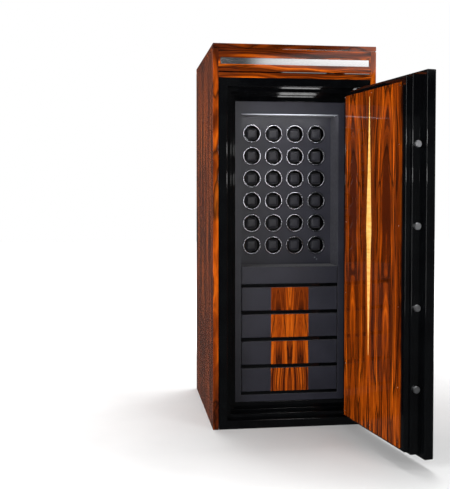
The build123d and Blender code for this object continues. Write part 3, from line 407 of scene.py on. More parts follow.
def backlit(name, cells):
    """White sheet of the studio that shows only its own light, with a tooth of so many cells per metre.

    Returns it with add_node for its tree, its place, and the call that lights it."""
    finish, add, shader, place = new_finish(name, {
        "Roughness": 1.0, "Specular IOR Level": 0.0, "Base Color": linear("#000000"),
        "Emission Color": linear("#ffffff")})
    tooth = add("ShaderNodeTexNoise", {"Vector": place, "Scale": cells, "Detail": 2.0})
    return finish, add, place, functools.partial(dress, add, shader, height=tooth, depth=0.0001)


def lit_card(name, power, tip, lower, upper):
    """White paper reflector, lit by a hidden lamp: a soft-edged wedge of light, narrow at its left tip.

    Each border leaves the tip with a slope and bends away with a curve."""
    finish, add, place, light_up = backlit(name, 400.0)
    axes = add("ShaderNodeSeparateXYZ", {"Vector": place}, out=None).outputs
    inward = add("ShaderNodeMath", {0: axes["X"], 1: tip[0]}, operation="SUBTRACT")
    fades = [(inward, 0.0, 0.14, 0.0, 1.0), (inward, 1.9, 2.4, 1.0, 0.0)]
    # The light begins 10 mm outside each border's line through the tip, and is full 45 mm outside it.
    for (slope, curve), side in ((lower, 1.0), (upper, -1.0)):
        bent = add("ShaderNodeMath", {0: inward, 1: curve, 2: slope}, operation="MULTIPLY_ADD")
        border = add("ShaderNodeMath", {0: inward, 1: bent, 2: tip[1]}, operation="MULTIPLY_ADD")
        past = add("ShaderNodeMath", {0: axes["Z"], 1: border}, operation="SUBTRACT")
        past = add("ShaderNodeMath", {0: past, 1: side}, operation="MULTIPLY")
        fades.append((past, -0.045, -0.01, 0.0, 1.0))
    strength = power
    for value, start, end, first, last in fades:
        fade = add("ShaderNodeMapRange", {"Value": value, 1: start, 2: end, 3: first, 4: last},
                   interpolation_type="SMOOTHSTEP")
        strength = add("ShaderNodeMath", {0: fade, 1: strength}, operation="MULTIPLY")
    light_up(glow=strength)
    return finish


def lit_cloth(name, power, middle, half):
    """Diffusion cloth with a lamp behind it: brightest in its middle, and gone before its hems."""
    finish, add, place, light_up = backlit(name, 900.0)
    aside = add("ShaderNodeVectorMath", {0: place, 1: middle}, operation="SUBTRACT")
    share = add("ShaderNodeVectorMath", {0: aside, 1: half}, operation="DIVIDE")
    reach = add("ShaderNodeVectorMath", {0: share}, out="Value", operation="LENGTH")
    strength = add("ShaderNodeMapRange", {"Value": reach, 1: 0.2, 2: 1.0, 3: power, 4: 0.0},
                   interpolation_type="SMOOTHSTEP")
    light_up(glow=strength)
    return finish


def finish_node(finish, *nodes):
    """Give CAD nodes a finish through their own material slots."""
    for node in nodes:
        piece = frame["nodes"][node]
        if not piece.material_slots:
            piece.data.materials.append(finish)
        for holder in piece.material_slots:
            holder.material = finish


def ends_of(points):
    """Lowest and highest corners of the box round some points."""
    return Vector(map(min, *points)), Vector(map(max, *points))


def shut_box(node):
    """Lowest and highest corners of a door node, as it is on the shut door."""
    return ends_of([UNSWING @ vertex.co for vertex in frame["nodes"][node].data.vertices])


def new_object(name, data):
    """Object at the origin, in the scene."""
    item = bpy.data.objects.new(name, data)
    bpy.context.scene.collection.objects.link(item)
    return item


def new_piece(name, mesh, body, finish=None, smooth=True):
    """Object at the origin that rides on a body."""
    piece = new_object(name, mesh)
    if finish is not None:
        mesh.materials.clear()
        mesh.materials.append(finish)
    if smooth:
        mesh.shade_smooth()
    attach(piece, body)
    return piece


def skinned_mesh(loops):
    """Mesh stretched over equal closed loops of points, closed with a face at both ends."""
    builder = bmesh.new()
    rings = [[builder.verts.new(point) for point in loop] for loop in loops]
    for low, high in zip(rings, rings[1:]):
        for step in range(len(low)):
            after = (step + 1) % len(low)
            builder.faces.new((low[step], low[after], high[after], high[step]))
    builder.faces.new(rings[0])
    builder.faces.new(rings[-1])
    bmesh.ops.remove_doubles(builder, verts=builder.verts, dist=1e-6)
    bmesh.ops.recalc_face_normals(builder, faces=builder.faces)
    mesh = bpy.data.meshes.new("piece")
    builder.to_mesh(mesh)
    builder.free()
    return mesh


def circle_loop(radius, out, steps=48):
    """Loop of a lathed piece about the Y axis."""
    angles = [math.tau * step / steps for step in range(steps)]
    return [Vector((radius * math.cos(angle), out, radius * math.sin(angle))) for angle in angles]


def soft_square(half_x, half_z, corner, steps=6):
    """Corner points (x, z) of a rectangle with round corners, anticlockwise."""
    points = []
    for quarter, (side_x, side_z) in enumerate(((1, 1), (-1, 1), (-1, -1), (1, -1))):
        for step in range(steps + 1):
            angle = math.pi / 2 * (quarter + step / steps)
            points.append((side_x * (half_x - corner) + corner * math.cos(angle),
                           side_z * (half_z - corner) + corner * math.sin(angle)))
    return points


def sharpen(mesh, degrees=35.0):
    """Smooth shading with a crease wherever two faces meet at more than an angle."""
    mesh.shade_smooth()
    mesh.set_sharp_from_angle(angle=math.radians(degrees))
    return mesh


def start_tree(name, inputs):
    """Geometry Nodes group with named value inputs, with add_node for it and its inputs' sockets."""
    tree = bpy.data.node_groups.new(name, "GeometryNodeTree")
    for way in ("OUTPUT", "INPUT"):
        tree.interface.new_socket("Geometry", in_out=way, socket_type="NodeSocketGeometry")
    for label in inputs:
        kind = "NodeSocketInt" if label == "Seed" else "NodeSocketFloat"
        tree.interface.new_socket(label, in_out="INPUT", socket_type=kind)
    add = functools.partial(add_node, tree)
    return tree, add, add("NodeGroupInput", out=None).outputs


def end_tree(add, geometry, finish):
    """Close a group with plain, smooth-shaded geometry in one material, creased at its sharp edges."""
    real = add("GeometryNodeRealizeInstances", {"Geometry": geometry})
    smooth = add("GeometryNodeSetShadeSmooth", {"Geometry": real})
    fold = add("GeometryNodeInputMeshEdgeAngle", out="Unsigned Angle")
    sharp = math.radians(38)
    crease = add("FunctionNodeCompare", {0: fold, 1: sharp}, operation="GREATER_THAN")
    creased = add("GeometryNodeSetShadeSmooth", {
        "Geometry": smooth, "Selection": crease, "Shade Smooth": False}, domain="EDGE")
    done = add("GeometryNodeSetMaterial", {"Geometry": creased, "Material": finish})
    add("NodeGroupOutput", {"Geometry": done})


def settled_mesh(holder):
    """Plain mesh of an object as its modifiers leave it; the modifiers are removed."""
    graph = bpy.context.evaluated_depsgraph_get()
    mesh = bpy.data.meshes.new_from_object(holder.evaluated_get(graph), depsgraph=graph)
    holder.modifiers.clear()
    return mesh


def grown_mesh(tree, places, values):
    """Run a Geometry Nodes tree on a mesh of places and return the result as a plain mesh."""
    holder = new_object("places", places)
    modifier = holder.modifiers.new("Layout", "NODES")
    modifier.node_group = tree
    for item in tree.interface.items_tree:
        if item.item_type == "SOCKET" and item.in_out == "INPUT" and item.name in values:
            modifier[item.identifier] = values[item.name]
    mesh = settled_mesh(holder)
    bpy.data.objects.remove(holder)
    return mesh


def points_mesh(points, closed=False):
    """Loose points, or one closed line through them, for a Geometry Nodes tree to work on."""
    count = len(points)
    edges = [(number, (number + 1) % count) for number in range(count)] if closed else []
    mesh = bpy.data.meshes.new("points")
    mesh.from_pydata([tuple(point) for point in points], edges, [])
    return mesh


class StudioSizes(bpy.types.PropertyGroup):
    floor_half: bpy.props.FloatProperty(
        name="Floor reach", description="Half the width of the studio floor", default=12.0, unit="LENGTH")
    key_power: bpy.props.FloatProperty(
        name="Key light", description="Power of the tall light at the left", default=150.0, unit="POWER")
    edge_power: bpy.props.FloatProperty(
        name="Edge light", description="Power of the tall narrow light in front", default=22.0, unit="POWER")
    overhead_power: bpy.props.FloatProperty(
        name="Overhead light", description="Power of the light above the front", default=7.0, unit="POWER")
    side_power: bpy.props.FloatProperty(
        name="Side light", description="Power of the light at the right", default=18.0, unit="POWER")
    front_power: bpy.props.FloatProperty(
        name="Front light", description="Power of each narrow light in front", default=2.7, unit="POWER")
    top_power: bpy.props.FloatProperty(
        name="Top light", description="Power of the light over the cabinet", default=215.0, unit="POWER")
    bay_power: bpy.props.FloatProperty(
        name="Bay light", description="Power of the light bar over the winders", default=0.25, unit="POWER")
    card_power: bpy.props.FloatProperty(
        name="Card", description="Brightness of the card that the strip mirrors", default=1.35, min=0.0)
    cloth_power: bpy.props.FloatProperty(
        name="Side cloth", description="Brightness of the cloth that the right side mirrors", default=1.8,
        min=0.0)
    fill: bpy.props.FloatProperty(
        name="Room fill", description="Brightness of the room's own soft light", default=0.35, min=0.0)
    mirrored: bpy.props.FloatProperty(
        name="Mirrored room", description="Brightness of the room where gloss mirrors it", default=0.05,
        min=0.0)
    lens: bpy.props.FloatProperty(
        name="Lens", description="Focal length on a 36 mm sensor", default=58.73, unit="CAMERA")


class DoorSizes(bpy.types.PropertyGroup):
    socket_width: bpy.props.FloatProperty(
        name="Screw socket", description="Width across the screws' hexagon socket", default=3.0 * MM,
        unit="LENGTH")
    sensor_rim: bpy.props.FloatProperty(
        name="Sensor rim", description="Width of the frame round the reader's window", default=3.0 * MM,
        unit="LENGTH")
    lamp_power: bpy.props.FloatProperty(
        name="Reader lamps", description="Brightness of the reader's two lamps", default=1.6, min=0.0)
    ready_colour: bpy.props.FloatVectorProperty(
        name="Ready lamp", description="Colour of the reader's left lamp", default=linear("#35ff5a")[:3],
        subtype="COLOR", min=0, max=1)
    locked_colour: bpy.props.FloatVectorProperty(
        name="Locked lamp", description="Colour of the reader's right lamp", default=linear("#ff3528")[:3],
        subtype="COLOR", min=0, max=1)


class WinderSizes(bpy.types.PropertyGroup):
    bar_power: bpy.props.FloatProperty(
        name="Light bar", description="Brightness of the light bar's lens", default=0.12, min=0.0)
    ring_wall: bpy.props.FloatProperty(
        name="Ring wall", description="Width of the bezel rings' face, from bore to rim", default=5.75 * MM,
        unit="LENGTH")
    ring_round: bpy.props.FloatProperty(
        name="Ring edge", description="Radius of the bezel rings' rounded edges", default=1.8 * MM,
        unit="LENGTH")
    sleeve_wall: bpy.props.FloatProperty(
        name="Sleeve wall", description="Thickness of the sleeve behind each ring", default=2.5 * MM,
        unit="LENGTH")
    cushion_grain: bpy.props.FloatProperty(
        name="Cushion grain", description="Pebble size of the cushions' leather", default=0.9 * MM,
        min=0.3 * MM, unit="LENGTH")
    pressure: bpy.props.FloatProperty(
        name="Filling pressure", description="Pressure that plumps the cushions", default=4.0, min=0.0)
    plump_limit: bpy.props.FloatProperty(
        name="Plump limit", description="Furthest that the filling moves the cover", default=2.2 * MM,
        unit="LENGTH")
    welt: bpy.props.FloatProperty(
        name="Welt", description="Thickness of the cord sewn into the cushions' seam", default=1.5 * MM,
        unit="LENGTH")
    stitch_pitch: bpy.props.FloatProperty(
        name="Stitch pitch", description="Distance between two stitches of a seam", default=3.2 * MM,
        unit="LENGTH")


class DrawerSizes(bpy.types.PropertyGroup):
    lining: bpy.props.FloatProperty(
        name="Lining", description="Thickness of the drawers' suede-covered trays", default=2.5 * MM,
        unit="LENGTH")
    corner: bpy.props.FloatProperty(
        name="Tray corner", description="Radius of the trays' corners", default=6.0 * MM, unit="LENGTH")


class WINDER_OT_stage(bpy.types.Operator):
    """Lay the floor, hang the lights and set up the camera"""
    bl_idname = "winder.stage"
    bl_label = "Studio"

    def execute(self, context):
        sizes = context.scene.winder_studio
        half = sizes.floor_half
        opal = opal_floor("opal_acrylic_floor", dark_reach=0.9, light_reach=2.0)
        floor = self.add_sheet("studio_floor", opal, (
            (-half, -half, 0), (half, -half, 0), (half, half, 0), (-half, half, 0)))
        floor.visible_glossy = False
        card_y, cloth_x = -2.87, 3.2
        card = lit_card("lit_white_card", sizes.card_power, tip=(0.2, 1.9), lower=(-0.01, -0.027),
                        upper=(0.03, 0.1))
        cloth = lit_cloth("lit_diffusion_cloth", sizes.cloth_power, middle=(cloth_x, 1.3, 1.1),
                          half=(1.0, 2.3, 1.5))
        for name, finish, corners in (
                ("reflector_card", card, (
                    (2.7, card_y, 1.45), (0.15, card_y, 1.45), (0.15, card_y, 2.4), (2.7, card_y, 2.4))),
                ("side_cloth", cloth, (
                    (cloth_x, -1.0, -0.4), (cloth_x, 3.6, -0.4), (cloth_x, 3.6, 2.6), (cloth_x, -1.0, 2.6)))):
            mirrored_only = self.add_sheet(name, finish, corners)
            mirrored_only.visible_camera = False
            mirrored_only.visible_diffuse = False
            mirrored_only.visible_shadow = False
        # Name, place, target, width and height, power, and whether gloss mirrors it. The edge strip stands
        # where neither the side panels nor the flat fronts mirror it, only the rounded edges.
        for name, place, target, size, power, mirrored in (
                ("tall_key_light", (-3.0, -3.0, 1.4), (0.0, -0.35, 0.9), (1.7, 2.5), sizes.key_power, False),
                ("edge_strip_light", (-0.38, -3.45, 1.5), (-0.38, 0.0, 1.5), (0.34, 2.7), sizes.edge_power,
                 True),
                ("overhead_front_light", (0.7, -1.6, 2.7), (0.3, -0.3, 0.9), (0.5, 1.2),
                 sizes.overhead_power, True),
                ("side_light", (3.2, 1.6, 1.6), (0.4, -0.5, 0.8), (2.0, 2.4), sizes.side_power, False),
                ("lower_front_strip", (0.85, card_y, 1.06), (0.85, 0.0, 1.06), (0.76, 0.08),
                 sizes.front_power, True),
                ("upper_front_strip", (0.85, card_y, 1.28), (0.85, 0.0, 1.28), (0.76, 0.08),
                 sizes.front_power, True),
                ("top_light", (0.1, 0.95, 5.0), (0.1, 0.95, 0.0), (2.4, 1.5), sizes.top_power, False),
                ("bay_light", (0.0, FRONT + 0.108, 1.277), (0.0, FRONT + 0.2, 1.2), (0.40, 0.006),
                 sizes.bay_power, True)):
            data = bpy.data.lights.new(name, "AREA")
            data.shape = "RECTANGLE"
            data.size, data.size_y = size
            data.energy = power
            light = new_object(name, data)
            light.location = place
            light.rotation_euler = (Vector(target) - Vector(place)).to_track_quat("-Z", "Y").to_euler()
            light.visible_camera = False
            light.visible_glossy = mirrored
        self.light_room(context, sizes)
        # The camera's lens, place and tilt were fitted to the cabinet's edges in the photograph.
        camera_data = bpy.data.cameras.new("camera")
        camera_data.sensor_width = 36.0
        camera_data.lens = sizes.lens
        camera_data.shift_y = -0.0554
        camera = new_object("camera", camera_data)
        camera.location = (-0.705, -3.5085, 0.9555)
        camera.rotation_euler = (math.radians(90 - 1.777), 0.0, math.radians(-7.529))
        context.scene.camera = camera
        return {"FINISHED"}

    @staticmethod
    def add_sheet(name, finish, corners):
        """Flat piece of the studio, which is no part of the cabinet."""
        mesh = bpy.data.meshes.new(name)
        mesh.from_pydata(corners, [], [(0, 1, 2, 3)])
        mesh.materials.append(finish)
        sheet = new_object(name, mesh)
        return sheet

    @staticmethod
    def light_room(context, sizes):
        """White room: bright where the camera sees it, dim where polished surfaces mirror it."""
        world = bpy.data.worlds.new("soft_room")
        world.use_nodes = True
        world.node_tree.nodes.clear()
        add = functools.partial(add_node, world.node_tree)
        ray = add("ShaderNodeLightPath", out=None).outputs
        level = add("ShaderNodeMix", {0: ray["Is Glossy Ray"], 2: sizes.fill, 3: sizes.mirrored},
                    data_type="FLOAT")
        level = add("ShaderNodeMix", {0: ray["Is Camera Ray"], 2: level, 3: 1.0}, data_type="FLOAT")
        shine = add("ShaderNodeBackground", {"Color": linear("#ffffff"), "Strength": level})
        add("ShaderNodeOutputWorld", {"Surface": shine})
        context.scene.world = world
        context.scene.view_settings.view_transform = "Standard"


class WINDER_OT_casing(bpy.types.Operator):
    """Veneer the casing and finish the steel body behind it"""
    bl_idname = "winder.casing"
    bl_label = "Casing"

    def execute(self, context):
        side_veneer = rosewood("rosewood_veneer_side", "YXZ", heart=0.05, seed=0.7)
        finish_node(side_veneer, "left_side_panel", "right_side_panel")
        finish_node(rosewood("rosewood_veneer_top", "YZX", heart=0.1, seed=2.3), "top_panel")
        finish_node(rosewood("rosewood_veneer_fascia", "ZYX", heart=1.36, seed=5.1), "front_fascia")
        finish_node(brushed_steel("brushed_stainless_steel"), "trim_strip")
        finish_node(black_lacquer("black_polyester_lacquer"), "door_frame")
        finish_node(powder_coat("black_powder_coat"), "safe_shell")
        finish_node(black_abs("moulded_black_abs"), "power_inlet", "winder_motors")
        return {"FINISHED"}


class WINDER_OT_door(bpy.types.Operator):
    """Lacquer the door, veneer its inner panel and plate its fittings"""
    bl_idname = "winder.door"
    bl_label = "Door"

    def execute(self, context):
        low, high = shut_box("spindle_inlay")
        middle = (low.x + high.x) / 2
        finish_node(black_lacquer("black_door_lacquer", on_door=True), "door_slab", "door_plug")
        finish_node(rosewood("rosewood_veneer_door", mirror=middle, heart=0.13, on_door=True, seed=8.4),
                    "inner_panel")
        finish_node(dyed_sycamore("dyed_sycamore"), "spindle_inlay")
        finish_node(black_chrome("black_chrome_plate"), "hinge_brackets", "hinge_leaves", "handle_rose",
                    "lever_handle")
        finish_node(polished_steel("polished_stainless_steel"), "reader_ring")
        finish_node(ground_chrome("hard_chromed_steel"), "lock_bolts")
        finish_node(smoked_acrylic("black_cast_acrylic"), "reader_pad")
        finish_node(powder_coat("grey_lock_coat", "#222326"), "lock_case")
        return {"FINISHED"}


class WINDER_OT_screws(bpy.types.Operator):
    """Set the socket screws round the door's inner panel"""
    bl_idname = "winder.screws"
    bl_label = "Panel screws"

    def execute(self, context):
        places, reach, radius = self.seats()
        tree, add, given = start_tree("Socket screws", ("Head radius", "Head height", "Socket width", "Seed"))
        rim, height = given["Head radius"], given["Head height"]
        # The hexagon's corners stand 0.5774 of its width from its middle.
        inner, wide, steep, tall, middle, sunk = (
            add("ShaderNodeMath", {0: size, 1: share}, operation="MULTIPLY")
            for size, share in ((given["Socket width"], 0.5774), (rim, 0.75), (height, 0.6), (height, 0.7),
                                (height, 0.65), (height, 0.3)))
        # The head's outline rises from its rim, bends over and ends at the socket; it is then revolved.
        corners = {
            name: add("ShaderNodeCombineXYZ", {"X": aside, "Z": up}) for name, aside, up in (
                ("Start", rim, 0.0), ("Start Handle", rim, steep), ("End Handle", wide, height),
                ("End", inner, height))}
        outline = add("GeometryNodeCurvePrimitiveBezierSegment", {"Resolution": 6, **corners},
                      mode="POSITION")
        upright = add("GeometryNodeTransform", {"Geometry": outline, "Rotation": (-math.pi / 2, 0.0, 0.0)})
        pivot = add("GeometryNodeCurvePrimitiveCircle", {"Resolution": 24, "Radius": 1e-5}, mode="RADIUS")
        dome = add("GeometryNodeCurveToMesh", {"Curve": pivot, "Profile Curve": upright})
        wall = add("GeometryNodeMeshCylinder", {"Vertices": 6, "Radius": inner, "Depth": tall},
                   fill_type="NONE")
        seat = add("GeometryNodeMeshCircle", {"Vertices": 6, "Radius": inner}, fill_type="NGON")
        wall, seat = (
            add("GeometryNodeTransform", {
                "Geometry": part, "Translation": add("ShaderNodeCombineXYZ", {"Z": up})})
            for part, up in ((wall, middle), (seat, sunk)))
        wall = add("GeometryNodeFlipFaces", {"Mesh": wall})
        head = add("GeometryNodeJoinGeometry", {0: [dome, wall, seat]})
        # Each screw stopped at its own angle when it was driven home.
        spin = add("FunctionNodeRandomValue", {"Seed": given["Seed"], 3: math.tau}, out=1, data_type="FLOAT")
        turn = add("ShaderNodeCombineXYZ", {"X": -math.pi / 2, "Y": spin})
        turn = add("FunctionNodeEulerToRotation", {"Euler": turn})
        spread = add("GeometryNodeInstanceOnPoints", {
            "Points": given["Geometry"], "Instance": head, "Rotation": turn})
        end_tree(add, spread, bpy.data.materials["hard_chromed_steel"])
        mesh = grown_mesh(tree, points_mesh(places), {
            "Head radius": radius, "Head height": reach,
            "Socket width": context.scene.winder_door.socket_width, "Seed": 4})
        mesh.transform(SWING)
        piece = new_piece("panel_socket_screws", mesh, "door", smooth=False)
        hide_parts("panel_screws")
        return {"FINISHED"}

    @staticmethod
    def seats():
        """Places of the CAD screws on the shut door, with their height and radius."""
        shut = frame["nodes"]["panel_screws"].data.copy()
        shut.transform(UNSWING)
        builder = bmesh.new()
        builder.from_mesh(shut)
        bmesh.ops.remove_doubles(builder, verts=builder.verts, dist=1e-5)
        places, reach, radius = [], 0.0, 0.0
        waiting = set(builder.verts)
        while waiting:
            heap, group = [waiting.pop()], []
            while heap:
                vertex = heap.pop()
                group.append(vertex.co.copy())
                for edge in vertex.link_edges:
                    other = edge.other_vert(vertex)
                    if other in waiting:
                        waiting.discard(other)
                        heap.append(other)
            low, high = ends_of(group)
            places.append(((low.x + high.x) / 2, low.y, (low.z + high.z) / 2))
            reach, radius = high.y - low.y, (high.x - low.x) / 2
        builder.free()
        bpy.data.meshes.remove(shut)
        return sorted(places), reach, radius


class WINDER_OT_reader(bpy.types.Operator):
    """Fit the fingerprint reader's window, its frame and its two lamps"""
    bl_idname = "winder.reader"
    bl_label = "Fingerprint reader"

    def execute(self, context):
        sizes = context.scene.winder_door
        low, high = shut_box("reader_pad")
        middle, face = (low + high) / 2, low.y
        # Half the width and the height of the pocket in the CAD pad, and its depth.
        half_x, half_z, pocket = 15.0 * MM, 20.5 * MM, 2.0 * MM
        rim, gap, drop = sizes.sensor_rim, 0.2 * MM, 3.4 * MM

        def plate(inset_x, inset_z, corner, out, up=0.0):
            shape = soft_square(half_x - gap - inset_x, half_z - gap - inset_z, corner)
            return [Vector((middle.x + x, face + out, middle.z + up + z)) for x, z in shape]

        frame_loops = [plate(inset, inset, corner, out) for inset, corner, out in (
            (0.0, 2 * MM, pocket), (0.0, 2 * MM, -0.3 * MM), (0.5 * MM, 1.8 * MM, -0.8 * MM),
            (rim, 1.5 * MM, -0.8 * MM), (rim + 0.4 * MM, 1.2 * MM, -0.3 * MM),
            (rim + 0.4 * MM, 1.2 * MM, 1.2 * MM))]
        self.fit("reader_window_frame", sharpen(skinned_mesh(frame_loops)), "reader_glass",
                 "black_cast_acrylic")
        window = [
            plate(rim + 0.8 * MM + cut, rim + 4.0 * MM + cut, 1.2 * MM, sink, -drop)
            for cut, sink in ((0.0, 1.1 * MM), (0.0, 0.3 * MM), (0.4 * MM, 0.0), (3.0 * MM, -0.2 * MM))]
        frosted_glass("frosted_toughened_glass")
        self.fit("reader_window", sharpen(skinned_mesh(window), 50.0), "reader_glass",
                 "frosted_toughened_glass")
        for name, colour, aside in (
                ("ready", sizes.ready_colour, -5.5 * MM), ("locked", sizes.locked_colour, 5.5 * MM)):
            # The property holds linear light, and the finish takes a hex code.
            code = "#" + "".join(f"{round(255 * level ** (1 / 2.2)):02x}" for level in colour)
            lamp_glow(f"{name}_lamp_epoxy", code, sizes.lamp_power)
            centre = Vector((middle.x + aside, 0.0, middle.z + half_z - rim - 4.0 * MM))
            dome = [[centre + point for point in circle_loop(radius, face + sink, 24)] for radius, sink in (
                (1.8 * MM, 1.1 * MM), (1.8 * MM, 0.0), (1.5 * MM, -0.5 * MM), (0.9 * MM, -0.9 * MM),
                (0.3 * MM, -1.05 * MM))]
            self.fit(f"reader_{name}_lamp", sharpen(skinned_mesh(dome), 60.0), "lamp_lens",
                     f"{name}_lamp_epoxy")
        return {"FINISHED"}

    @staticmethod
    def fit(name, mesh, slot, finish):
        """Swing a piece made on the shut door to the open one and fix it there."""
        mesh.transform(SWING)
        new_piece(name, mesh, "door", bpy.data.materials[finish], smooth=False)


class WINDER_OT_interior(bpy.types.Operator):
    """Cover the face frame, the winder panel and the drawers, and veneer the drawers' stripes"""
    bl_idname = "winder.interior"
    bl_label = "Interior"

    def execute(self, context):
        hide = leather("black_pebbled_leather", "#1b1b24", "#24242e")
        finish_node(hide, "face_frame", "fixed_fascia", "winder_panel", *DRAWERS)
        finish_node(black_lacquer("black_board_lacquer"), "drawer_cabinet")
        # Each stripe's sheet comes from another part of the log, and its arches lie 200 mm further along.
        # With flame at 0.12 the stripes get few dark streaks and are lighter than the other veneer: partly
        # their own tone, partly painted light against the shade they stand in.
        for number in range(1, len(DRAWERS) + 1):
            wood = rosewood(f"rosewood_veneer_stripe_{number}", mirror=0.0, heart=0.045,
                            summit=0.2 * number - 0.5, flame=0.12, seed=11.0 + 0.35 * number)
            finish_node(wood, f"drawer_stripe_{number}")
        # The light bar hangs above this height, and the two small lamps lie below it.
        between = 1.0
        glow = lamp_glow("white_lamp_epoxy", "#c4c9d4", context.scene.winder_winders.bar_power, dim=between)
        finish_node(glow, "bay_lamps")
        return {"FINISHED"}


class WINDER_OT_rings(bpy.types.Operator):
    """Set a polished ring round each winder"""
    bl_idname = "winder.rings"
    bl_label = "Bezel rings"

    def execute(self, context):
        sizes = context.scene.winder_winders
        low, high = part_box("bezel_rings")
        panel_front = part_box("winder_panel")[0].y
        centres = list(WINDERS.values())
        outer = high.x - max(centre.x for centre in centres)
        tree, add, given = start_tree("Bezel rings", (
            "Outer radius", "Bore radius", "Proud", "Edge round", "Sleeve wall", "Sleeve depth"))
        bore = given["Bore radius"]
        ring = self.band(add, bore, given["Outer radius"], given["Proud"], given["Edge round"], 0.5)
        rim = add("ShaderNodeMath", {0: bore, 1: given["Sleeve wall"]}, operation="ADD")
        sleeve = self.band(add, bore, rim, given["Sleeve depth"], 0.2 * MM, -0.5)
        joined = add("GeometryNodeJoinGeometry", {0: [ring, sleeve]})
        face = add("FunctionNodeEulerToRotation", {"Euler": (math.pi / 2, 0.0, 0.0)})
        spread = add("GeometryNodeInstanceOnPoints", {
            "Points": given["Geometry"], "Instance": joined, "Rotation": face})
        end_tree(add, spread, bpy.data.materials["polished_stainless_steel"])
        places = [(centre.x, panel_front, centre.z) for centre in centres]
        mesh = grown_mesh(tree, points_mesh(places), {
            "Outer radius": outer, "Bore radius": outer - sizes.ring_wall, "Proud": panel_front - low.y,
            "Edge round": sizes.ring_round, "Sleeve wall": sizes.sleeve_wall,
            "Sleeve depth": high.y - panel_front})
        piece = new_piece("polished_bezel_rings", mesh, "root", smooth=False)
        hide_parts("bezel_rings")
        return {"FINISHED"}

    @staticmethod
    def band(add, inner, outer, height, rounding, lift):
        """Closed band round the Z axis with a rounded rectangular section."""
        total = add("ShaderNodeMath", {0: inner, 1: outer}, operation="ADD")
        middle = add("ShaderNodeMath", {0: total, 1: 0.5}, operation="MULTIPLY")
        width = add("ShaderNodeMath", {0: outer, 1: inner}, operation="SUBTRACT")
        circle = add("GeometryNodeCurvePrimitiveCircle", {"Resolution": 72, "Radius": middle}, mode="RADIUS")
        section = add("GeometryNodeCurvePrimitiveQuadrilateral", {"Width": width, "Height": height},
                      mode="RECTANGLE")
        soft = add("GeometryNodeFilletCurve", {
            "Curve": section, "Count": 4, "Radius": rounding, "Limit Radius": True}, mode="POLY")
        skin = add("GeometryNodeCurveToMesh", {"Curve": circle, "Profile Curve": soft})
        rise = add("ShaderNodeMath", {0: height, 1: lift}, operation="MULTIPLY")
        return add("GeometryNodeTransform", {
            "Geometry": skin, "Translation": add("ShaderNodeCombineXYZ", {"Z": rise})})


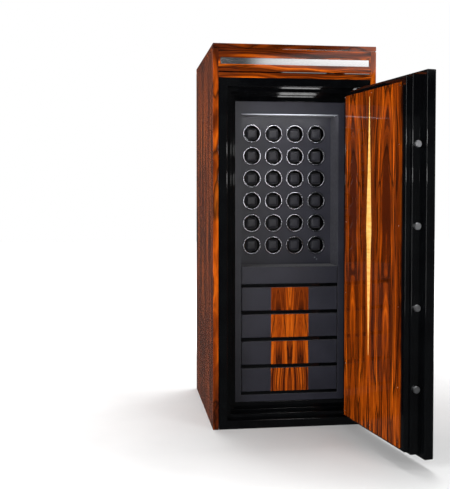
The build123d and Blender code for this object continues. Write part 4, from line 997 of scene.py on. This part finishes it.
class WINDER_OT_rotors(bpy.types.Operator):
    """Turn the winders' turntables, and stuff, welt and stitch their cushions"""
    bl_idname = "winder.rotors"
    bl_label = "Turntables and cushions"

    def execute(self, context):
        sizes = context.scene.winder_winders
        plastic = bpy.data.materials["moulded_black_abs"]
        hide = leather("soft_black_leather", "#19191f", "#23232a", pebble=sizes.cushion_grain)
        low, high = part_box("winder_rotor_r1c1")
        table = self.turntable(low.y + CUSHION_DEPTH, high.y, (high.x - low.x) / 2)
        cover = self.cushion(context, low.y, sizes)
        seam = self.seam(cover, low.y, sizes)
        for place, seat in WINDERS.items():
            shift = Matrix.Translation((seat.x, 0.0, seat.z))
            for name, source, slot, finish in (
                    ("turntable", table, "black_plastic", plastic),
                    ("watch_cushion", cover, "cushion_leather", hide),
                    ("cushion_seam", seam, "cushion_leather", None)):
                mesh = source.copy()
                mesh.transform(shift)
                new_piece(f"{name}_{place}", mesh, f"rotor_{place}", finish,
                                        smooth=name == "watch_cushion")
            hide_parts(f"winder_rotor_{place}")
        return {"FINISHED"}

    @staticmethod
    def turntable(front, back, radius):
        """Disc with rounded rims and a stepped hub, on its shaft."""
        thick, edge, hub, shaft = 6.0 * MM, 0.8 * MM, 9 * MM, 4 * MM
        step = thick + 2 * MM
        profile = (
            (radius - 3.4 * MM, 0.0), (radius - edge, 0.0), (radius, edge), (radius, thick - edge),
            (radius - edge, thick), (hub, thick), (hub - 0.6 * MM, step), (shaft, step),
            (shaft, back - front - 0.5 * MM), (shaft - 0.5 * MM, back - front))
        return sharpen(skinned_mesh([circle_loop(reach, front + out) for reach, out in profile]))

    @staticmethod
    def outline(share, out, steps=48):
        """Section of the cushion: a soft square whose sides pull in between its corners."""
        half, waist = 25.0 * MM, 0.05
        loop = []
        for step in range(steps):
            angle = math.tau * step / steps
            c, s = math.cos(angle), math.sin(angle)
            reach = half * share / (abs(c) ** 5 + abs(s) ** 5) ** 0.2 * (1 - waist * math.cos(2 * angle) ** 2)
            loop.append(Vector((reach * c, out, reach * s)))
        return loop

    @classmethod
    def cushion(cls, context, front, sizes):
        """Leather cushion, fullest a third of the way back, plumped by cloth simulation."""
        stations = ((0.02, 0.62), (0.12, 0.86), (0.36, 0.97), (0.74, 0.94), (0.98, 0.78))
        loops = [cls.outline(share, front + CUSHION_DEPTH * along) for along, share in stations]
        holder = new_object("cushion", skinned_mesh(loops))
        remesh = holder.modifiers.new("Remesh", "REMESH")
        remesh.mode = "VOXEL"
        remesh.voxel_size = 2.6 * MM
        start = settled_mesh(holder)
        holder.data = start
        rest = [vertex.co.copy() for vertex in start.vertices]
        cloth = holder.modifiers.new("Cloth", "CLOTH")
        cloth.settings.use_pressure = True
        cloth.settings.uniform_pressure_force = sizes.pressure
        cloth.settings.effector_weights.gravity = 0.0
        for moment in range(1, 21):
            context.scene.frame_set(moment)
        swollen = settled_mesh(holder)
        for vertex, origin, moved in zip(start.vertices, rest, swollen.vertices):
            step = moved.co - origin
            if step.length > sizes.plump_limit:
                step = step.normalized() * sizes.plump_limit
            vertex.co = origin + step
        context.scene.frame_set(1)
        smooth = holder.modifiers.new("Subdivision", "SUBSURF")
        smooth.levels = smooth.render_levels = 1
        cover = settled_mesh(holder)
        bpy.data.objects.remove(holder)
        return cover

    @classmethod
    def seam(cls, cover, front, sizes):
        """Welt in the seam round the cushion's front panel, with a row of stitches beside it."""
        faces = BVHTree.FromPolygons([vertex.co for vertex in cover.vertices],
                                     [list(face.vertices) for face in cover.polygons])
        line = [faces.find_nearest(point)[0] for point in cls.outline(0.86, front + 0.12 * CUSHION_DEPTH, 96)]
        # The seam draws the cover in by up to 0.7 mm over 3 mm each side.
        pull, near = 0.7 * MM, 3 * MM
        centre = Vector((0.0, front + CUSHION_DEPTH / 2, 0.0))
        for vertex in cover.vertices:
            away = min((vertex.co - spot).length for spot in line)
            if away < near:
                vertex.co += (centre - vertex.co).normalized() * pull * (1 - away / near) ** 2
        tree, add, given = start_tree("Welt and stitches", ("Welt", "Pitch", "Inset", "Thread"))
        path = add("GeometryNodeMeshToCurve", {"Mesh": given["Geometry"]})
        half = add("ShaderNodeMath", {0: given["Welt"], 1: 0.5}, operation="MULTIPLY")
        section = add("GeometryNodeCurvePrimitiveCircle", {"Resolution": 8, "Radius": half}, mode="RADIUS")
        cord = add("GeometryNodeCurveToMesh", {"Curve": path, "Profile Curve": section})
        share = add("ShaderNodeMath", {0: 1.0, 1: given["Inset"]}, operation="SUBTRACT")
        shrunk = add("GeometryNodeTransform", {
            "Geometry": path, "Scale": add("ShaderNodeCombineXYZ", {"X": share, "Y": 1.0, "Z": share})})
        spots = add("GeometryNodeResampleCurve", {"Curve": shrunk, "Length": given["Pitch"]}, mode="LENGTH")
        run = add("GeometryNodeInputTangent")
        turn = add("FunctionNodeAlignRotationToVector", {"Vector": run}, axis="X")
        # A stitch is 72 % of the pitch long, and the shape's scale is half of that.
        long = add("ShaderNodeMath", {0: given["Pitch"], 1: 0.36}, operation="MULTIPLY")
        shape = add("ShaderNodeCombineXYZ", {"X": long, "Y": given["Thread"], "Z": given["Thread"]})
        grain = add("GeometryNodeMeshUVSphere", {"Segments": 6, "Rings": 5, "Radius": 1.0})
        stitches = add("GeometryNodeInstanceOnPoints", {
            "Points": spots, "Instance": grain, "Rotation": turn, "Scale": shape})
        thread = waxed_thread("waxed_polyester_thread")
        parts = [
            add("GeometryNodeSetMaterial", {"Geometry": part, "Material": finish})
            for part, finish in ((cord, bpy.data.materials["soft_black_leather"]), (stitches, thread))]
        both = add("GeometryNodeJoinGeometry", {0: parts})
        real = add("GeometryNodeRealizeInstances", {"Geometry": both})
        smooth = add("GeometryNodeSetShadeSmooth", {"Geometry": real})
        add("NodeGroupOutput", {"Geometry": smooth})
        return grown_mesh(tree, points_mesh(line, closed=True), {
            "Welt": sizes.welt, "Pitch": sizes.stitch_pitch, "Inset": 0.11, "Thread": 0.45 * MM})


class WINDER_OT_linings(bpy.types.Operator):
    """Set a suede-covered tray in each drawer"""
    bl_idname = "winder.linings"
    bl_label = "Drawer linings"

    def execute(self, context):
        sizes = context.scene.winder_drawers
        wall, corner = sizes.lining, sizes.corner
        roll, cove, inner = 0.7 * MM, 4 * MM, corner - wall
        nap = suede("charcoal_microfibre_suede", "#26252a", "#35343a")
        for drawer in DRAWERS:
            low, high = (Vector(end) for end in ROOMS[f"{drawer}_inside"])
            middle, half = (low + high) / 2, (high - low) / 2
            floor = low.z + wall
            # Board, rolled rim and inner wall, then the sunk floor: (inset, height, corner radius).
            steps = (
                (0.0, low.z, corner), (0.0, high.z - roll, corner), (roll, high.z, corner),
                (wall - roll, high.z, corner), (wall, high.z - roll, inner), (wall, floor + cove, inner),
                (wall + 0.3 * cove, floor + 0.3 * cove, inner), (wall + cove, floor, inner))
            loops = [[Vector((middle.x + x, middle.y + y, height)) for x, y in soft_square(
                half.x - inset, half.y - inset, max(radius, 1 * MM))] for inset, height, radius in steps]
            mesh = sharpen(skinned_mesh(loops), 60.0)
            new_piece(f"suede_tray_{drawer}", mesh, drawer, nap, smooth=False)
        return {"FINISHED"}


class WINDER_PT_panel(bpy.types.Panel):
    """Buttons for the pieces of the cabinet, in the order in which they are made"""
    bl_idname = "WINDER_PT_panel"
    bl_label = "Winder Cabinet"
    bl_space_type = "VIEW_3D"
    bl_region_type = "UI"
    bl_category = "Winder Cabinet"

    def draw(self, context):
        for group in SETTINGS:
            settings = getattr(context.scene, group)
            for name in settings.bl_rna.properties.keys():
                if name not in {"rna_type", "name"}:
                    self.layout.prop(settings, name)
        for step in STEPS:
            self.layout.operator(step.bl_idname)


SETTINGS = {"winder_studio": StudioSizes, "winder_door": DoorSizes, "winder_winders": WinderSizes,
            "winder_drawers": DrawerSizes}
STEPS = (WINDER_OT_stage, WINDER_OT_casing, WINDER_OT_door, WINDER_OT_screws, WINDER_OT_reader,
         WINDER_OT_interior, WINDER_OT_rings, WINDER_OT_rotors, WINDER_OT_linings)


def register():
    for part in (*SETTINGS.values(), *STEPS, WINDER_PT_panel):
        bpy.utils.register_class(part)
    for name, settings in SETTINGS.items():
        setattr(bpy.types.Scene, name, bpy.props.PointerProperty(type=settings))


def unregister():
    for name in SETTINGS:
        delattr(bpy.types.Scene, name)
    for part in (WINDER_PT_panel, *reversed(STEPS), *SETTINGS.values()):
        bpy.utils.unregister_class(part)


def main():
    register()
    for step in STEPS:
        space, name = step.bl_idname.split(".")
        getattr(getattr(bpy.ops, space), name)()


if __name__ == "__main__":
    main()
